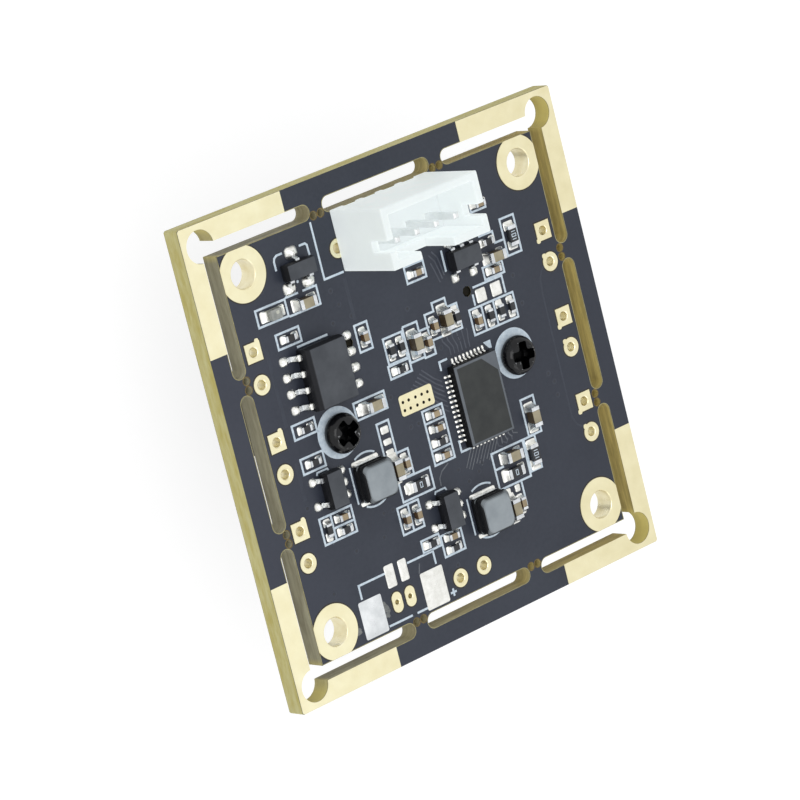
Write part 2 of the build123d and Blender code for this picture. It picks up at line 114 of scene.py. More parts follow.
class Maker:
    """Builds one material's nodes."""

    def __init__(self, name):
        self.material = bpy.data.materials.new(name)
        self.material.use_nodes = True
        self.tree = self.material.node_tree
        self.tree.nodes.clear()
        self.out = self.add("ShaderNodeOutputMaterial")
        self.shader = self.add("ShaderNodeBsdfPrincipled")
        self.link(self.shader.outputs[0], self.out.inputs["Surface"])
        self.place = self.add("ShaderNodeTexCoord").outputs["Object"]

    def add(self, kind, **settings):
        node = self.tree.nodes.new(kind)
        for key, value in settings.items():
            setattr(node, key, value)
        return node

    def link(self, source, target):
        self.tree.links.new(source, target)

    def feed(self, values, sockets):
        """Set each socket, or link it where its value is another socket."""
        for value, socket in zip(values, sockets):
            if isinstance(value, bpy.types.NodeSocket):
                self.link(value, socket)
            else:
                socket.default_value = value

    def set(self, **values):
        for key, value in values.items():
            self.shader.inputs[key.replace("_", " ")].default_value = value

    def noise(self, size, detail=4.0, roughness=0.55, stretch=None):
        """Noise whose largest features are about size millimetres across."""
        node = self.add("ShaderNodeTexNoise")
        node.inputs["Scale"].default_value = 1 / (size * mm)
        node.inputs["Detail"].default_value = detail
        node.inputs["Roughness"].default_value = roughness
        place = self.place
        if stretch:
            mapping = self.add("ShaderNodeMapping")
            mapping.inputs["Scale"].default_value = stretch
            self.link(place, mapping.inputs["Vector"])
            place = mapping.outputs[0]
        self.link(place, node.inputs["Vector"])
        return node.outputs["Fac"]

    def ramp(self, source, low, high, start=0.3, end=0.7):
        """Source between start and end, as a value from low to high."""
        node = self.add("ShaderNodeMapRange")
        node.inputs["From Min"].default_value = start
        node.inputs["From Max"].default_value = end
        node.inputs["To Min"].default_value = low
        node.inputs["To Max"].default_value = high
        self.link(source, node.inputs["Value"])
        return node.outputs[0]

    def mix(self, share, first, second):
        """A colour between two; each is a colour or a socket."""
        node = self.add("ShaderNodeMix", data_type="RGBA")
        self.feed((share, first, second), (node.inputs[0], node.inputs[6], node.inputs[7]))
        return node.outputs[2]

    def math(self, operation, *values):
        node = self.add("ShaderNodeMath", operation=operation)
        self.feed(values, node.inputs)
        return node.outputs[0]

    def cloudy(self, noise, dark, light):
        """A colour that varies with noise between two sRGB colours."""
        return self.mix(self.ramp(noise, 0, 1), linear(dark), linear(light))

    def weighted(self, first, share, second, second_share):
        return self.math(
            "ADD", self.math("MULTIPLY", first, share), self.math("MULTIPLY", second, second_share),
        )

    def squares(self, first, second):
        return self.weighted(first, first, second, second)

    def axis(self, letter, source=None):
        """One coordinate of the place, in millimetres, or of another vector as it is."""
        node = self.add("ShaderNodeSeparateXYZ")
        self.link(source or self.place, node.inputs[0])
        value = node.outputs[letter]
        return value if source else self.math("MULTIPLY", value, 1 / mm)

    def normal_up(self):
        """How far the surface faces up or down, 0 to 1."""
        normal = self.add("ShaderNodeNewGeometry").outputs["True Normal"]
        return self.math("ABSOLUTE", self.axis("Z", normal))

    def bump(self, height, depth, strength=1.0):
        """Bump from a height socket; depth is in millimetres."""
        node = self.add("ShaderNodeBump")
        node.inputs["Distance"].default_value = depth * mm
        node.inputs["Strength"].default_value = strength
        self.link(height, node.inputs["Height"])
        self.link(node.outputs[0], self.shader.inputs["Normal"])

    def colour(self, source):
        self.link(source, self.shader.inputs["Base Color"])

    def roughness(self, low, high, source):
        self.link(self.ramp(source, low, high), self.shader.inputs["Roughness"])


def ceramic_material(name, top_dark, top_light, shaded_side_dark, shaded_side_light):
    """Fired ceramic: tan, with its sides painted dark amber as painted shade."""
    maker = Maker(name)
    cloud = maker.ramp(maker.noise(1.3, 4), 0, 1)
    top = maker.mix(cloud, linear(top_dark), linear(top_light))
    # Painted shade: faces that point sideways take the darker amber.
    side = maker.mix(cloud, linear(shaded_side_dark), linear(shaded_side_light))
    maker.colour(maker.mix(maker.ramp(maker.normal_up(), 0, 1, 0.6, 0.9), side, top))
    maker.roughness(0.4, 0.55, maker.noise(0.8, 3))
    maker.bump(maker.noise(0.15, 4, 0.6), 0.012)
    return maker.material


def varied(name, dark, light, size, rough, bump=0.0, bump_size=None, **values):
    """A material whose colour, roughness and surface vary with noise."""
    maker = Maker(name)
    maker.set(**values)
    cloud = maker.noise(size)
    maker.colour(maker.cloudy(cloud, dark, light))
    maker.roughness(rough[0], rough[1], maker.noise(size * 0.6, 3))
    if bump:
        maker.bump(maker.noise(bump_size or size * 0.2, 5, 0.65), bump)
    return maker.material


def board_material():
    """Dark mask on the two faces and bare laminate round the outside and in the slots; in the slots the
    laminate is darkened with painted shade, and lightened near the corner holes with painted light.
    """
    maker = Maker("board mask and laminate")
    maker.set(Specular_IOR_Level=0.35)
    x, y, z = (maker.axis(letter) for letter in "XYZ")
    cloud = maker.noise(5.0, 3)
    grain = maker.noise(0.35, 4)
    mask = maker.cloudy(cloud, MASK_DARK, MASK_LIGHT)
    mask = maker.mix(maker.math("MULTIPLY", maker.ramp(grain, 0, 1), 0.3), mask, linear((60, 64, 75)))
    # Painted light and shade across the board: the mask is lightened towards -X and darkened towards +X.
    mask = maker.mix(maker.ramp(x, 0.4, 0, -20, -10), mask, linear((66, 69, 82)))
    mask = maker.mix(maker.ramp(x, 0, 0.4, 6, 18), mask, linear((34, 39, 52)))
    layers = maker.noise(0.9, 4, 0.65, (0.25, 0.25, 2.5))
    weave = maker.noise(0.9, 4, 0.6, (0.5, 0.5, 2))
    outer = maker.mix(maker.ramp(weave, 0, 1, 0.35, 0.65), linear(EDGE_DARK), linear(EDGE_LIGHT))
    outer = maker.mix(maker.ramp(layers, 0, 0.4, 0.4, 0.65), outer, linear((232, 226, 176)))
    inner = maker.mix(maker.ramp(x, 0, 1, -12, 12), linear(WALL_LEFT), linear(WALL_RIGHT))
    dim = maker.weighted(weave, 0.4, layers, 0.7)
    # Painted shade in the narrow slots: the walls are darkened towards dark brown, in patches that follow the
    # weave and layers.
    inner = maker.mix(maker.ramp(dim, 0.5, 0, 0.4, 0.7), inner, linear((92, 76, 44)))
    wide, tall = maker.math("ABSOLUTE", x), maker.math("ABSOLUTE", y)
    reach = maker.math("MAXIMUM", wide, tall)
    nearer = maker.math("MINIMUM", wide, tall)
    # Painted light where the slots open into the corner holes.
    inner = maker.mix(maker.ramp(nearer, 0, 0.8, 15.6, 16.4), inner, linear(LIT_CORNER_WALL))
    outside = maker.math("GREATER_THAN", reach, frame_edge - 0.35)
    laminate = maker.mix(outside, inner, outer)
    middle = maker.math("ABSOLUTE", maker.math("SUBTRACT", z, (front_z + back_z) / 2))
    skin = maker.ramp(middle, 0, 0.8, 0.75, 0.8)
    laminate = maker.mix(skin, laminate, linear((58, 58, 50)))
    face = maker.math("GREATER_THAN", maker.normal_up(), 0.7)
    maker.colour(maker.mix(face, laminate, mask))
    rough = maker.mix(face, (0.62, 0.62, 0.62, 1), (0.42, 0.42, 0.42, 1))
    maker.link(rough, maker.shader.inputs["Roughness"])
    height = maker.weighted(weave, 0.7, grain, 0.3)
    maker.bump(height, 0.012, 0.6)
    return maker.material


def chip_material(name, top_dark, top_light, side, rough=(0.5, 0.62)):
    """Moulded black plastic, matt, with a grey top and much darker sides: painted light on the top and
    painted shade down the sides.
    """
    maker = Maker(name)
    maker.set(Specular_IOR_Level=0.18)
    cloud = maker.noise(1.5, 4)
    top = maker.cloudy(cloud, top_dark, top_light)
    # Painted light and shade: faces that point up take the lighter top colour, the others the dark side
    # colour.
    up = maker.ramp(maker.normal_up(), 0, 1, 0.75, 0.97)
    maker.colour(maker.mix(up, linear(side), top))
    maker.roughness(rough[0], rough[1], maker.noise(0.5, 3))
    maker.bump(maker.noise(0.06, 4, 0.7), 0.004, 0.8)
    return maker.material


def solder_material():
    """Bright solder with a slightly wrinkled skin."""
    maker = Maker("solder")
    maker.set(Metallic=1.0)
    cloud = maker.noise(0.5, 3)
    maker.colour(maker.cloudy(cloud, (226, 226, 220), (250, 250, 246)))
    maker.roughness(0.24, 0.4, maker.noise(0.3, 3))
    maker.bump(maker.noise(0.4, 2, 0.5), 0.014, 0.5)
    return maker.material


def gold_material():
    """Thin gold over nickel, pale and a little uneven."""
    maker = Maker("plated land")
    maker.set(Metallic=0.85)
    cloud = maker.noise(1.6, 4)
    # Painted light across the board: the gold is lighter towards -X.
    across = maker.ramp(maker.axis("X"), 0, 1, -19, 19)
    dark = maker.mix(across, linear((242, 234, 194)), linear((230, 221, 180)))
    light = maker.mix(across, linear((250, 244, 208)), linear((240, 232, 194)))
    maker.colour(maker.mix(maker.ramp(cloud, 0, 1), dark, light))
    maker.roughness(0.34, 0.48, maker.noise(0.5, 3))
    brushed = maker.noise(0.5, 4, 0.6, (1.0, 6.0, 1.0))
    maker.bump(brushed, 0.01, 0.6)
    return maker.material


def print_material():
    """White ink, thin enough that the mask greys it a little."""
    maker = Maker("white print")
    maker.set(Specular_IOR_Level=0.3)
    cloud = maker.noise(0.35, 5, 0.65)
    maker.colour(maker.cloudy(cloud, (186, 202, 216), (222, 233, 241)))
    maker.roughness(0.5, 0.7, cloud)
    maker.bump(cloud, 0.008, 0.7)
    return maker.material


def trace_material(name, dark, light):
    """Mask over copper: a shade lighter than the bare mask."""
    maker = Maker(name)
    maker.set(Specular_IOR_Level=0.35)
    cloud = maker.noise(1.0, 3)
    maker.colour(maker.cloudy(cloud, dark, light))
    maker.roughness(0.38, 0.48, cloud)
    return maker.material


def header_material():
    """Natural nylon: white, slightly see-through at its thin edges, and given a painted glow over a grey base
    colour to even out its shading.
    """
    maker = Maker("header nylon")
    maker.set(
        Specular_IOR_Level=0.4, Subsurface_Weight=0.5, Subsurface_Scale=0.002,
        Subsurface_Radius=(1.0, 1.0, 0.8),
    )
    # Painted light: an even glow, standing in for light scattered through the nylon, over the grey base
    # colour.
    maker.set(Emission_Color=linear((248, 255, 255)), Emission_Strength=0.56)
    cloud = maker.noise(2.5, 3)
    maker.colour(maker.cloudy(cloud, (151, 156, 157), (158, 163, 164)))
    maker.roughness(0.38, 0.5, maker.noise(0.8, 3))
    maker.bump(maker.noise(0.1, 4, 0.6), 0.004, 0.6)
    return maker.material


def screw_material():
    """Glossy black oxide; down in the recess it is painted near-black with almost no shine, as painted shade,
    and light flecks on the head are drive wear and painted highlights.
    """
    recess_reach, wear_and_glint_reach = 1.12, 1.15
    maker = Maker("black oxide")
    cloud = maker.noise(0.8, 4)
    steel = maker.cloudy(cloud, (9, 9, 11), (20, 21, 24))
    out = maker.math("SUBTRACT", maker.math("ABSOLUTE", maker.axis("X")), screw_at)
    along = maker.axis("Y")
    squares = maker.squares(out, along)
    inside = maker.math("LESS_THAN", squares, recess_reach ** 2)
    # Painted shade: inside the recess the steel is coloured near-black and its shine is cut.
    recess_shade = maker.math("MULTIPLY", inside, maker.ramp(maker.axis("Z"), 1, 0, back_z + 1.13, back_z + 1.17))
    # Light flecks on the head: drive wear and painted highlights.
    wear_and_glints = maker.ramp(maker.noise(0.45, 3, 0.6), 0, 0.55, 0.6, 0.66)
    near = maker.math("LESS_THAN", squares, wear_and_glint_reach ** 2)
    steel = maker.mix(maker.math("MULTIPLY", wear_and_glints, near), steel, linear((196, 198, 200)))
    maker.colour(maker.mix(recess_shade, steel, linear((3, 3, 4))))
    maker.link(maker.ramp(recess_shade, 0.3, 0.04, 0, 1), maker.shader.inputs["Specular IOR Level"])
    maker.roughness(0.1, 0.24, maker.noise(0.5, 3))
    maker.bump(maker.noise(0.3, 4, 0.6), 0.014, 0.8)
    return maker.material


def anodised_material(name, rings=False):
    """Black turned metal with fine marks of the tool, or cast plastic without them."""
    maker = Maker(name)
    maker.set(Metallic=0.4 if rings else 0.0, Specular_IOR_Level=0.4)
    cloud = maker.noise(3.0, 3)
    maker.colour(maker.cloudy(cloud, (26, 27, 30), (40, 41, 45)))
    maker.roughness(0.36, 0.5, maker.noise(0.7, 3))
    if rings:
        x, y = maker.axis("X"), maker.axis("Y")
        radius = maker.math("SQRT", maker.squares(x, y))
        marks = maker.math("SINE", maker.math("MULTIPLY", radius, tau / 0.09))
        maker.bump(marks, 0.004, 0.5)
    else:
        maker.bump(maker.noise(0.12, 4, 0.6), 0.01, 0.7)
    return maker.material


def glass_material(name, tint, rough=0.02, coat=(150, 110, 190)):
    """Coated glass, with a little of its own tint."""
    maker = Maker(name)
    maker.set(IOR=1.5, Transmission_Weight=0.9, Coat_Weight=0.6, Coat_Roughness=0.02)
    maker.set(Specular_Tint=linear(coat))
    maker.set(Roughness=rough)
    cloud = maker.noise(4.0, 2)
    light = tuple(min(255, value + 14) for value in tint)
    maker.colour(maker.cloudy(cloud, tint, light))
    return maker.material


board_look = board_material()
gold = gold_material()
solder = solder_material()
ink = print_material()
trace_look = trace_material("mask over copper", (66, 70, 80), (84, 88, 98))
bright_look = trace_material("mask over a fine track", (86, 90, 97), (112, 116, 121))
faint_look = trace_material("mask over a wide track", (50, 55, 66), (58, 63, 74))
nylon = header_material()
# The chips, the controller's rim and the ferrite get a painted lit top and painted shaded sides.
chip_black = chip_material("moulded chip", (70, 73, 78), (84, 87, 92), (27, 28, 32))
controller_rim = chip_material("controller rim", (98, 103, 109), (110, 115, 121), (14, 15, 18))
controller_face = chip_material("controller face", (56, 58, 58), (66, 68, 67), (20, 21, 25))
ferrite_top = chip_material("ferrite", (142, 149, 154), (160, 167, 171), (16, 17, 20), (0.5, 0.65))
holder_black = anodised_material("holder plastic")
lens_black = anodised_material("turned lens metal", rings=True)
lead_metal = varied("tinned lead", (198, 202, 206), (236, 239, 242), 0.6, (0.18, 0.34), 0.01, Metallic=1.0)
pin_metal = varied("plated pin", (226, 228, 228), (246, 247, 247), 1.2, (0.3, 0.45), 0.004, Metallic=0.7)
# The ceramic parts' darker side colours are painted shade.
tan_grey = ceramic_material("ceramic", (140, 131, 106), (172, 162, 136), (56, 45, 30), (82, 68, 46))
tan_brown = ceramic_material("small ceramic", (138, 122, 96), (170, 152, 122), (66, 48, 28), (98, 72, 42))
resistor_black = varied("resistor glaze", (24, 25, 28), (44, 46, 50), 0.6, (0.25, 0.45), 0.01, 0.2)
screw_black = screw_material()
lamp_clear = varied(
    "lamp resin", (150, 154, 150), (186, 188, 182), 0.5, (0.1, 0.2), 0.01, 0.3, Transmission_Weight=0.3,
)
lamp_white = varied("lamp carrier", (150, 152, 140), (206, 206, 194), 0.5, (0.4, 0.6), 0.006, 0.15)
tube_gold = varied(
    "plated hole wall", (226, 214, 170), (250, 244, 214), 1.6, (0.24, 0.4), 0.006, 1.2, Metallic=0.85,
)
laminate_pale = varied("bare laminate", (140, 132, 92), (176, 168, 122), 0.6, (0.5, 0.7), 0.004, 0.1)
# Bare laminate at the mask's edge, darkened with painted shade.
clearance_shade_look = varied("laminate and painted shade beside a land", (24, 20, 13), (46, 38, 24), 0.4, (0.5, 0.7), 0.004, 0.1)
bite_look = varied("drilled laminate", (84, 70, 34), (124, 104, 54), 0.4, (0.5, 0.7), 0.004, 0.1)
residue = varied("flux residue", (92, 95, 96), (128, 130, 128), 0.3, (0.2, 0.4), 0.01, 0.1)
mask_dark = varied("mask over a hole", (30, 33, 42), (40, 44, 54), 0.3, (0.35, 0.5), 0.01, 0.1)
# Near-black for the insides of holes, as painted shade.
hole_shade_look = varied("hole", (20, 19, 14), (34, 31, 22), 0.3, (0.6, 0.8), 0.01, 0.1, Specular_IOR_Level=0.1)
stained = varied("dull solder", (206, 210, 212), (240, 243, 245), 1.4, (0.22, 0.42), 0.02, 0.5, Metallic=1.0)
inner_glass_look = varied(
    "coated inner lens", (16, 20, 46), (30, 24, 58), 1.4, (0.02, 0.06), 0.0, Coat_Weight=0.8,
)
front_glass_look = glass_material("coated lens glass", (200, 214, 210))
filter_look = glass_material("infrared filter", (150, 200, 196), 0.02, (200, 120, 120))
sensor_glass_look = glass_material("sensor cover glass", (224, 230, 228))
sensor_look = varied("sensor ceramic", (34, 36, 44), (60, 62, 74), 1.0, (0.3, 0.5), 0.006, 0.2)
can_metal = varied(
    "crystal can", (186, 188, 190), (218, 220, 222), 1.2, (0.22, 0.36), 0.01, 0.3, Metallic=1.0,
)


# Shapes: a shape is a pair of lists, its points and its faces

def new_shape():
    return ([], [])


def skin(shape, rings, cap_first=True, cap_last=True):
    """Join a stack of closed rings of points, and close the ends."""
    points, faces = shape
    start, count = len(points), len(rings[0])
    for ring in rings:
        points.extend(ring)
    for level in range(len(rings) - 1):
        low = start + level * count
        for i in range(count):
            j = (i + 1) % count
            faces.append((low + i, low + j, low + count + j, low + count + i))
    if cap_first:
        faces.append(tuple(start + i for i in reversed(range(count))))
    if cap_last:
        faces.append(tuple(start + (len(rings) - 1) * count + i for i in range(count)))


def tube(shape, rings):
    """Join a stack of closed rings of points, and leave the ends open."""
    skin(shape, rings, cap_first=False, cap_last=False)


def object_from(name, shape, scale=1, crease=None):
    """A mesh object with its faces turned outward; past the crease, in degrees, edges stay sharp."""
    points, faces = shape
    mesh = bpy.data.meshes.new(name)
    mesh.from_pydata([(x * scale, y * scale, z * scale) for x, y, z in points], [], faces)
    work = bmesh.new()
    work.from_mesh(mesh)
    bmesh.ops.recalc_face_normals(work, faces=work.faces)
    if crease:
        for face in work.faces:
            face.smooth = True
        for edge in work.edges:
            if len(edge.link_faces) == 2 and edge.calc_face_angle(0) > radians(crease):
                edge.smooth = False
    work.to_mesh(mesh)
    work.free()
    made = bpy.data.objects.new(name, mesh)
    bpy.context.scene.collection.objects.link(made)
    return made


def piece_from(name, shape, material, smooth=True, angle=35):
    """Turn a shape into a piece that rides on the board."""
    piece = object_from(name, shape, mm, angle if smooth else None)
    piece.data.materials.append(material)
    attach(piece, "root")
    return piece


def raised(points, z):
    return [(point[0], point[1], z) for point in points]


def rounded_rectangle(x, y, wide, tall, radius=0.1, per_corner=4):
    """Points round a rectangle with rounded corners."""
    radius = min(radius, wide / 2 - 0.001, tall / 2 - 0.001)
    points = []
    for quarter, (side_x, side_y) in enumerate([(1, 1), (-1, 1), (-1, -1), (1, -1)]):
        middle_x = x + side_x * (wide / 2 - radius)
        middle_y = y + side_y * (tall / 2 - radius)
        for step in range(per_corner + 1):
            angle = pi / 2 * (quarter + step / per_corner)
            points.append((middle_x + radius * cos(angle), middle_y + radius * sin(angle)))
    return points


def circle(x, y, radius, count=40):
    return [(x + radius * cos(tau * i / count), y + radius * sin(tau * i / count)) for i in range(count)]


def lathe(profile, count):
    """Rings about the z axis, from a profile of radii and heights."""
    return [raised(circle(0, 0, radius, count), z) for radius, z in profile]


def rotated(points, degrees, x=0.0, y=0.0):
    """Points turned about the origin and then moved."""
    a = radians(degrees)
    return [(x + px * cos(a) - py * sin(a), y + px * sin(a) + py * cos(a)) for px, py in points]


def square_ring(x, y, side, count=40):
    """As many points round a square as a circle has, at the same angles."""
    points = []
    for i in range(count):
        across, up = cos(tau * i / count), sin(tau * i / count)
        reach = side / 2 / max(abs(across), abs(up))
        points.append((x + reach * across, y + reach * up))
    return points


def shrunk(points, middle, step):
    """Points moved towards a middle by a step."""
    out = []
    for x, y in points:
        away = hypot(x - middle[0], y - middle[1])
        share = (away - step) / away
        out.append((middle[0] + (x - middle[0]) * share, middle[1] + (y - middle[1]) * share))
    return out


def plated_hole(shape, lining, middle, outline, hole_r):
    """A land on each face, and the plated wall of the hole between them."""
    spread = 0.02 if hole_r > 1 else 0.07
    hole = circle(*middle, hole_r - 0.03, len(outline))
    knee = circle(*middle, hole_r + spread * 0.2, len(outline))
    rim = circle(*middle, hole_r + spread, len(outline))
    soft = shrunk(outline, middle, 0.012)
    for face_z, side in ((back_z, 1), (front_z, -1)):
        top = face_z + side * land_thick
        tube(shape, [raised(outline, face_z), raised(soft, top), raised(rim, top)])
    rings = [
        raised(rim, back_z + land_thick), raised(knee, back_z + land_thick * 0.7),
        raised(hole, back_z - 0.02),
    ]
    rings += [
        raised(hole, front_z + 0.02), raised(knee, front_z - land_thick * 0.7),
        raised(rim, front_z - land_thick),
    ]
    tube(lining, rings)


def via_ring(shape, x, y, face_z, side):
    """A low ring of mask over a covered via."""
    profile = [(0.24, 0.0), (0.22, 0.012), (0.17, 0.012), (0.12, 0.002)]
    tube(shape, [raised(circle(x, y, radius, 20), face_z + side * z) for radius, z in profile])


def slab(shape, outline, low, high):
    """A flat plate with a plain outline."""
    skin(shape, [raised(outline, low), raised(outline, high)])


def stroke(shape, line, wide=0.18, low=back_z, thick=print_thick, closed=False):
    """A raised line with mitred corners and sloping sides."""
    points, faces = shape
    count = len(line)
    start = len(points)
    for i, (x, y) in enumerate(line):
        before = line[i - 1] if i or closed else None
        after = line[(i + 1) % count] if i < count - 1 or closed else None
        ways = []
        for first, second in ((before, (x, y)), ((x, y), after)):
            if first and second:
                long = hypot(second[0] - first[0], second[1] - first[1])
                ways.append(((second[0] - first[0]) / long, (second[1] - first[1]) / long))
        along = Vector(ways[0]) + Vector(ways[-1])
        along = along.normalized() if along.length > 1e-6 else Vector(ways[0])
        across = Vector((-along.y, along.x))
        spread = 1 / max(0.45, across.dot(Vector((-ways[0][1], ways[0][0]))))
        for share, height in ((-1, 0), (-0.88, thick), (0.88, thick), (1, 0)):
            out = across * share * wide / 2 * spread
            points.append((x + out.x, y + out.y, low + height))
    for i in range(count if closed else count - 1):
        one, two = start + 4 * i, start + 4 * ((i + 1) % count)
        for j in range(3):
            faces.append((one + j, two + j, two + j + 1, one + j + 1))
    if not closed:
        faces.append(tuple(start + j for j in range(4)))
        faces.append(tuple(start + 4 * (count - 1) + j for j in reversed(range(4))))


def print_height(index):
    """Strokes differ a hair in height, so that crossing ones don't share a face."""
    return print_thick + 0.0011 * (index % 9)


def box_line(left, right, top, bottom, inset=0.07):
    left, right, top, bottom = left + inset, right - inset, top - inset, bottom + inset
    return [(left, top), (right, top), (right, bottom), (left, bottom)]


def arc_line(x, y, radius, start, end, count=14):
    """Points on an arc; angles in degrees."""
    angles = [radians(start + (end - start) * i / count) for i in range(count + 1)]
    return [(x + radius * cos(angle), y + radius * sin(angle)) for angle in angles]


# The camera, the floor and the lights

FLOOR_SHARE = 0.3
FLOOR_GLOW = 0.8


def make_camera():
    """The photograph's viewpoint, as found from the board's corners."""
    data = bpy.data.cameras.new("camera")
    data.sensor_width = 36
    data.lens = 194.92
    data.clip_start = 0.01
    camera = bpy.data.objects.new("camera", data)
    bpy.context.scene.collection.objects.link(camera)
    right = (0.73353687, -0.2391191, 0.63619629)
    up = (0.32520582, 0.94543985, -0.01961302)
    back = (-0.59679548, 0.22128161, 0.77127791)
    place = (-0.19965, 0.07341, 0.27052)
    camera.matrix_world = Matrix([(right[i], up[i], back[i], place[i]) for i in range(3)] + [(0, 0, 0, 1)])
    bpy.context.scene.camera = camera


def seen_directly(tree):
    """1 for rays from the camera and for rays seen in gloss or through glass."""
    path = tree.nodes.new("ShaderNodeLightPath")
    total = path.outputs["Is Camera Ray"]
    for name in ("Is Glossy Ray", "Is Transmission Ray"):
        most = tree.nodes.new("ShaderNodeMath")
        most.operation = "MAXIMUM"
        tree.links.new(total, most.inputs[0])
        tree.links.new(path.outputs[name], most.inputs[1])
        total = most.outputs[0]
    return total


def shader_node(tree, kind, **values):
    """A node with values set on its own sockets."""
    node = tree.nodes.new(kind)
    for name, value in values.items():
        node.inputs[name].default_value = value
    return node


def make_floor():
    """A plain pale floor under the lens rim, that keeps the object's shadow."""
    half = 0.6
    mesh = bpy.data.meshes.new("floor")
    mesh.from_pydata(
        [(-half, -half, 0), (half, -half, 0), (half, half, 0), (-half, half, 0)], [], [(0, 1, 2, 3)],
    )
    floor = bpy.data.objects.new("floor", mesh)
    floor.location.z = -0.00002
    bpy.context.scene.collection.objects.link(floor)
    material = bpy.data.materials.new("floor")
    material.use_nodes = True
    tree = material.node_tree
    tree.nodes.clear()
    diffuse = shader_node(tree, "ShaderNodeBsdfDiffuse", Color=(FLOOR_SHARE, FLOOR_SHARE, FLOOR_SHARE, 1))
    glow = shader_node(tree, "ShaderNodeEmission", Color=(FLOOR_GLOW, FLOOR_GLOW, FLOOR_GLOW, 1))
    tree.links.new(seen_directly(tree), glow.inputs["Strength"])
    both = tree.nodes.new("ShaderNodeAddShader")
    tree.links.new(diffuse.outputs[0], both.inputs[0])
    tree.links.new(glow.outputs[0], both.inputs[1])
    tree.links.new(both.outputs[0], tree.nodes.new("ShaderNodeOutputMaterial").inputs["Surface"])
    mesh.materials.append(material)


def make_world(level):
    """White where it is seen, and plain soft light on the object."""
    world = bpy.data.worlds.new("studio")
    world.use_nodes = True
    bpy.context.scene.world = world
    tree = world.node_tree
    tree.nodes.clear()
    light = shader_node(tree, "ShaderNodeBackground", Color=(0.97, 0.985, 1, 1), Strength=level)
    seen = shader_node(tree, "ShaderNodeBackground", Color=(1, 1, 1, 1), Strength=1.0)
    either = tree.nodes.new("ShaderNodeMixShader")
    tree.links.new(seen_directly(tree), either.inputs[0])
    tree.links.new(light.outputs[0], either.inputs[1])
    tree.links.new(seen.outputs[0], either.inputs[2])
    tree.links.new(either.outputs[0], tree.nodes.new("ShaderNodeOutputWorld").inputs["Surface"])


def soft_lamp(name, direction, distance, side, level):
    """A square lamp aimed at the board; level is the share of full light it gives a facing surface."""
    data = bpy.data.lights.new(name, "AREA")
    data.shape = "SQUARE"
    data.size = side
    data.energy = pi * pi * distance * distance * level
    lamp = bpy.data.objects.new(name, data)
    bpy.context.scene.collection.objects.link(lamp)
    way = Vector(direction).normalized()
    lamp.location = way * distance + Vector((0, 0, back_z * mm))
    lamp.rotation_euler = way.to_track_quat("Z", "Y").to_euler()


make_camera()
make_world(0.68)
make_floor()
soft_lamp("key lamp", (-0.55, 0.2, 0.9), 0.5, 0.3, 0.26)
soft_lamp("fill lamp", (-0.2, -0.8, 0.7), 0.6, 0.35, 0.14)

bpy.context.scene.view_settings.view_transform = "Standard"


# Finishes of the solids that stay

def finish_node(name, material, bevel=0.0, segments=2):
    """Give a carried-over solid its material and soften its edges."""
    node = nodes[name]
    node.data.materials.clear()
    node.data.materials.append(material)
    if bevel:
        weld = node.modifiers.new("weld", "WELD")
        weld.merge_threshold = 1e-6
        soften = node.modifiers.new("soften", "BEVEL")
        soften.width = bevel * mm
        soften.segments = segments
        soften.limit_method = "ANGLE"
        soften.angle_limit = radians(28)
        soften.harden_normals = True


for name, look, bevel in (
    ("circuit_board", board_look, 0),
    ("header_housing", nylon, 0.07),
    ("header_pins", pin_metal, 0.03),
    ("controller_body", controller_rim, 0.03),
    ("memory_body", chip_black, 0.06),
    ("memory_leads", lead_metal, 0.03),
    ("transistor_body", chip_black, 0.05),
    ("transistor_leads", lead_metal, 0.03),
    ("regulator_bodies", chip_black, 0.05),
    ("regulator_leads", lead_metal, 0.03),
    ("coil_terminals", lead_metal, 0.03),
    ("large_capacitors", tan_grey, 0.04),
    ("small_capacitors", tan_brown, 0.03),
    ("large_resistors", resistor_black, 0.02),
    ("small_resistors", resistor_black, 0.02),
    ("lamp_lens", lamp_clear, 0.06),
    ("lamp_carrier", lamp_white, 0.02),
    ("lens_holder", holder_black, 0.08),
    ("lock_ring", lens_black, 0),
    ("front_retainer", lens_black, 0.05),
    ("infrared_filter", filter_look, 0.04),
    ("sensor_package", sensor_look, 0.05),
    ("sensor_glass", sensor_glass_look, 0.03),
    ("crystal", can_metal, 0),
    ("controller_joints", solder, 0.03),
    ("holder_screws", screw_black, 0),
    ("coil_cores", ferrite_top, 0),
    ("lens_barrel", lens_black, 0),
    ("front_glass", front_glass_look, 0),
):
    finish_node(name, look, bevel)
for kind in ("large_capacitor", "small_capacitor", "large_resistor", "small_resistor"):
    finish_node(kind + "_ends", lead_metal, 0.05)


# Gold lands on both faces

def clipped(points, limit):
    """Points kept within a square about the board's middle."""
    return [(max(-limit, min(limit, x)), max(-limit, min(limit, y))) for x, y in points]


def land_middles():
    """Every plated hole: its middle, outline and hole radius."""
    for side_x, side_y in quarters:
        middle = (side_x * mount_at, side_y * mount_at)
        yield middle, clipped(circle(*middle, mount_land_r, 72), inner_edge - 0.005), mount_hole_r
    for x in (-edge_hole_x, edge_hole_x):
        for group in edge_hole_groups:
            upper, lower = (x, group + edge_hole_half_pitch), (x, group - edge_hole_half_pitch)
            yield upper, square_ring(*upper, edge_land_side), edge_hole_r
            yield lower, circle(*lower, edge_land_r), edge_hole_r
    for x in header_spare_x:
        yield (x, pin_row_y), circle(x, pin_row_y, spare_land_r), pin_hole_r
    for middle in ((-1.3, -14.6), (1.22, -14.5)):
        yield middle, circle(*middle, wire_land_r), edge_hole_r
    for middle in ((-7.8, -14.15), (-6.45, -14.15)):
        yield middle, rounded_rectangle(*middle, 1.0, 1.65, 0.5, 9), via_hole_r


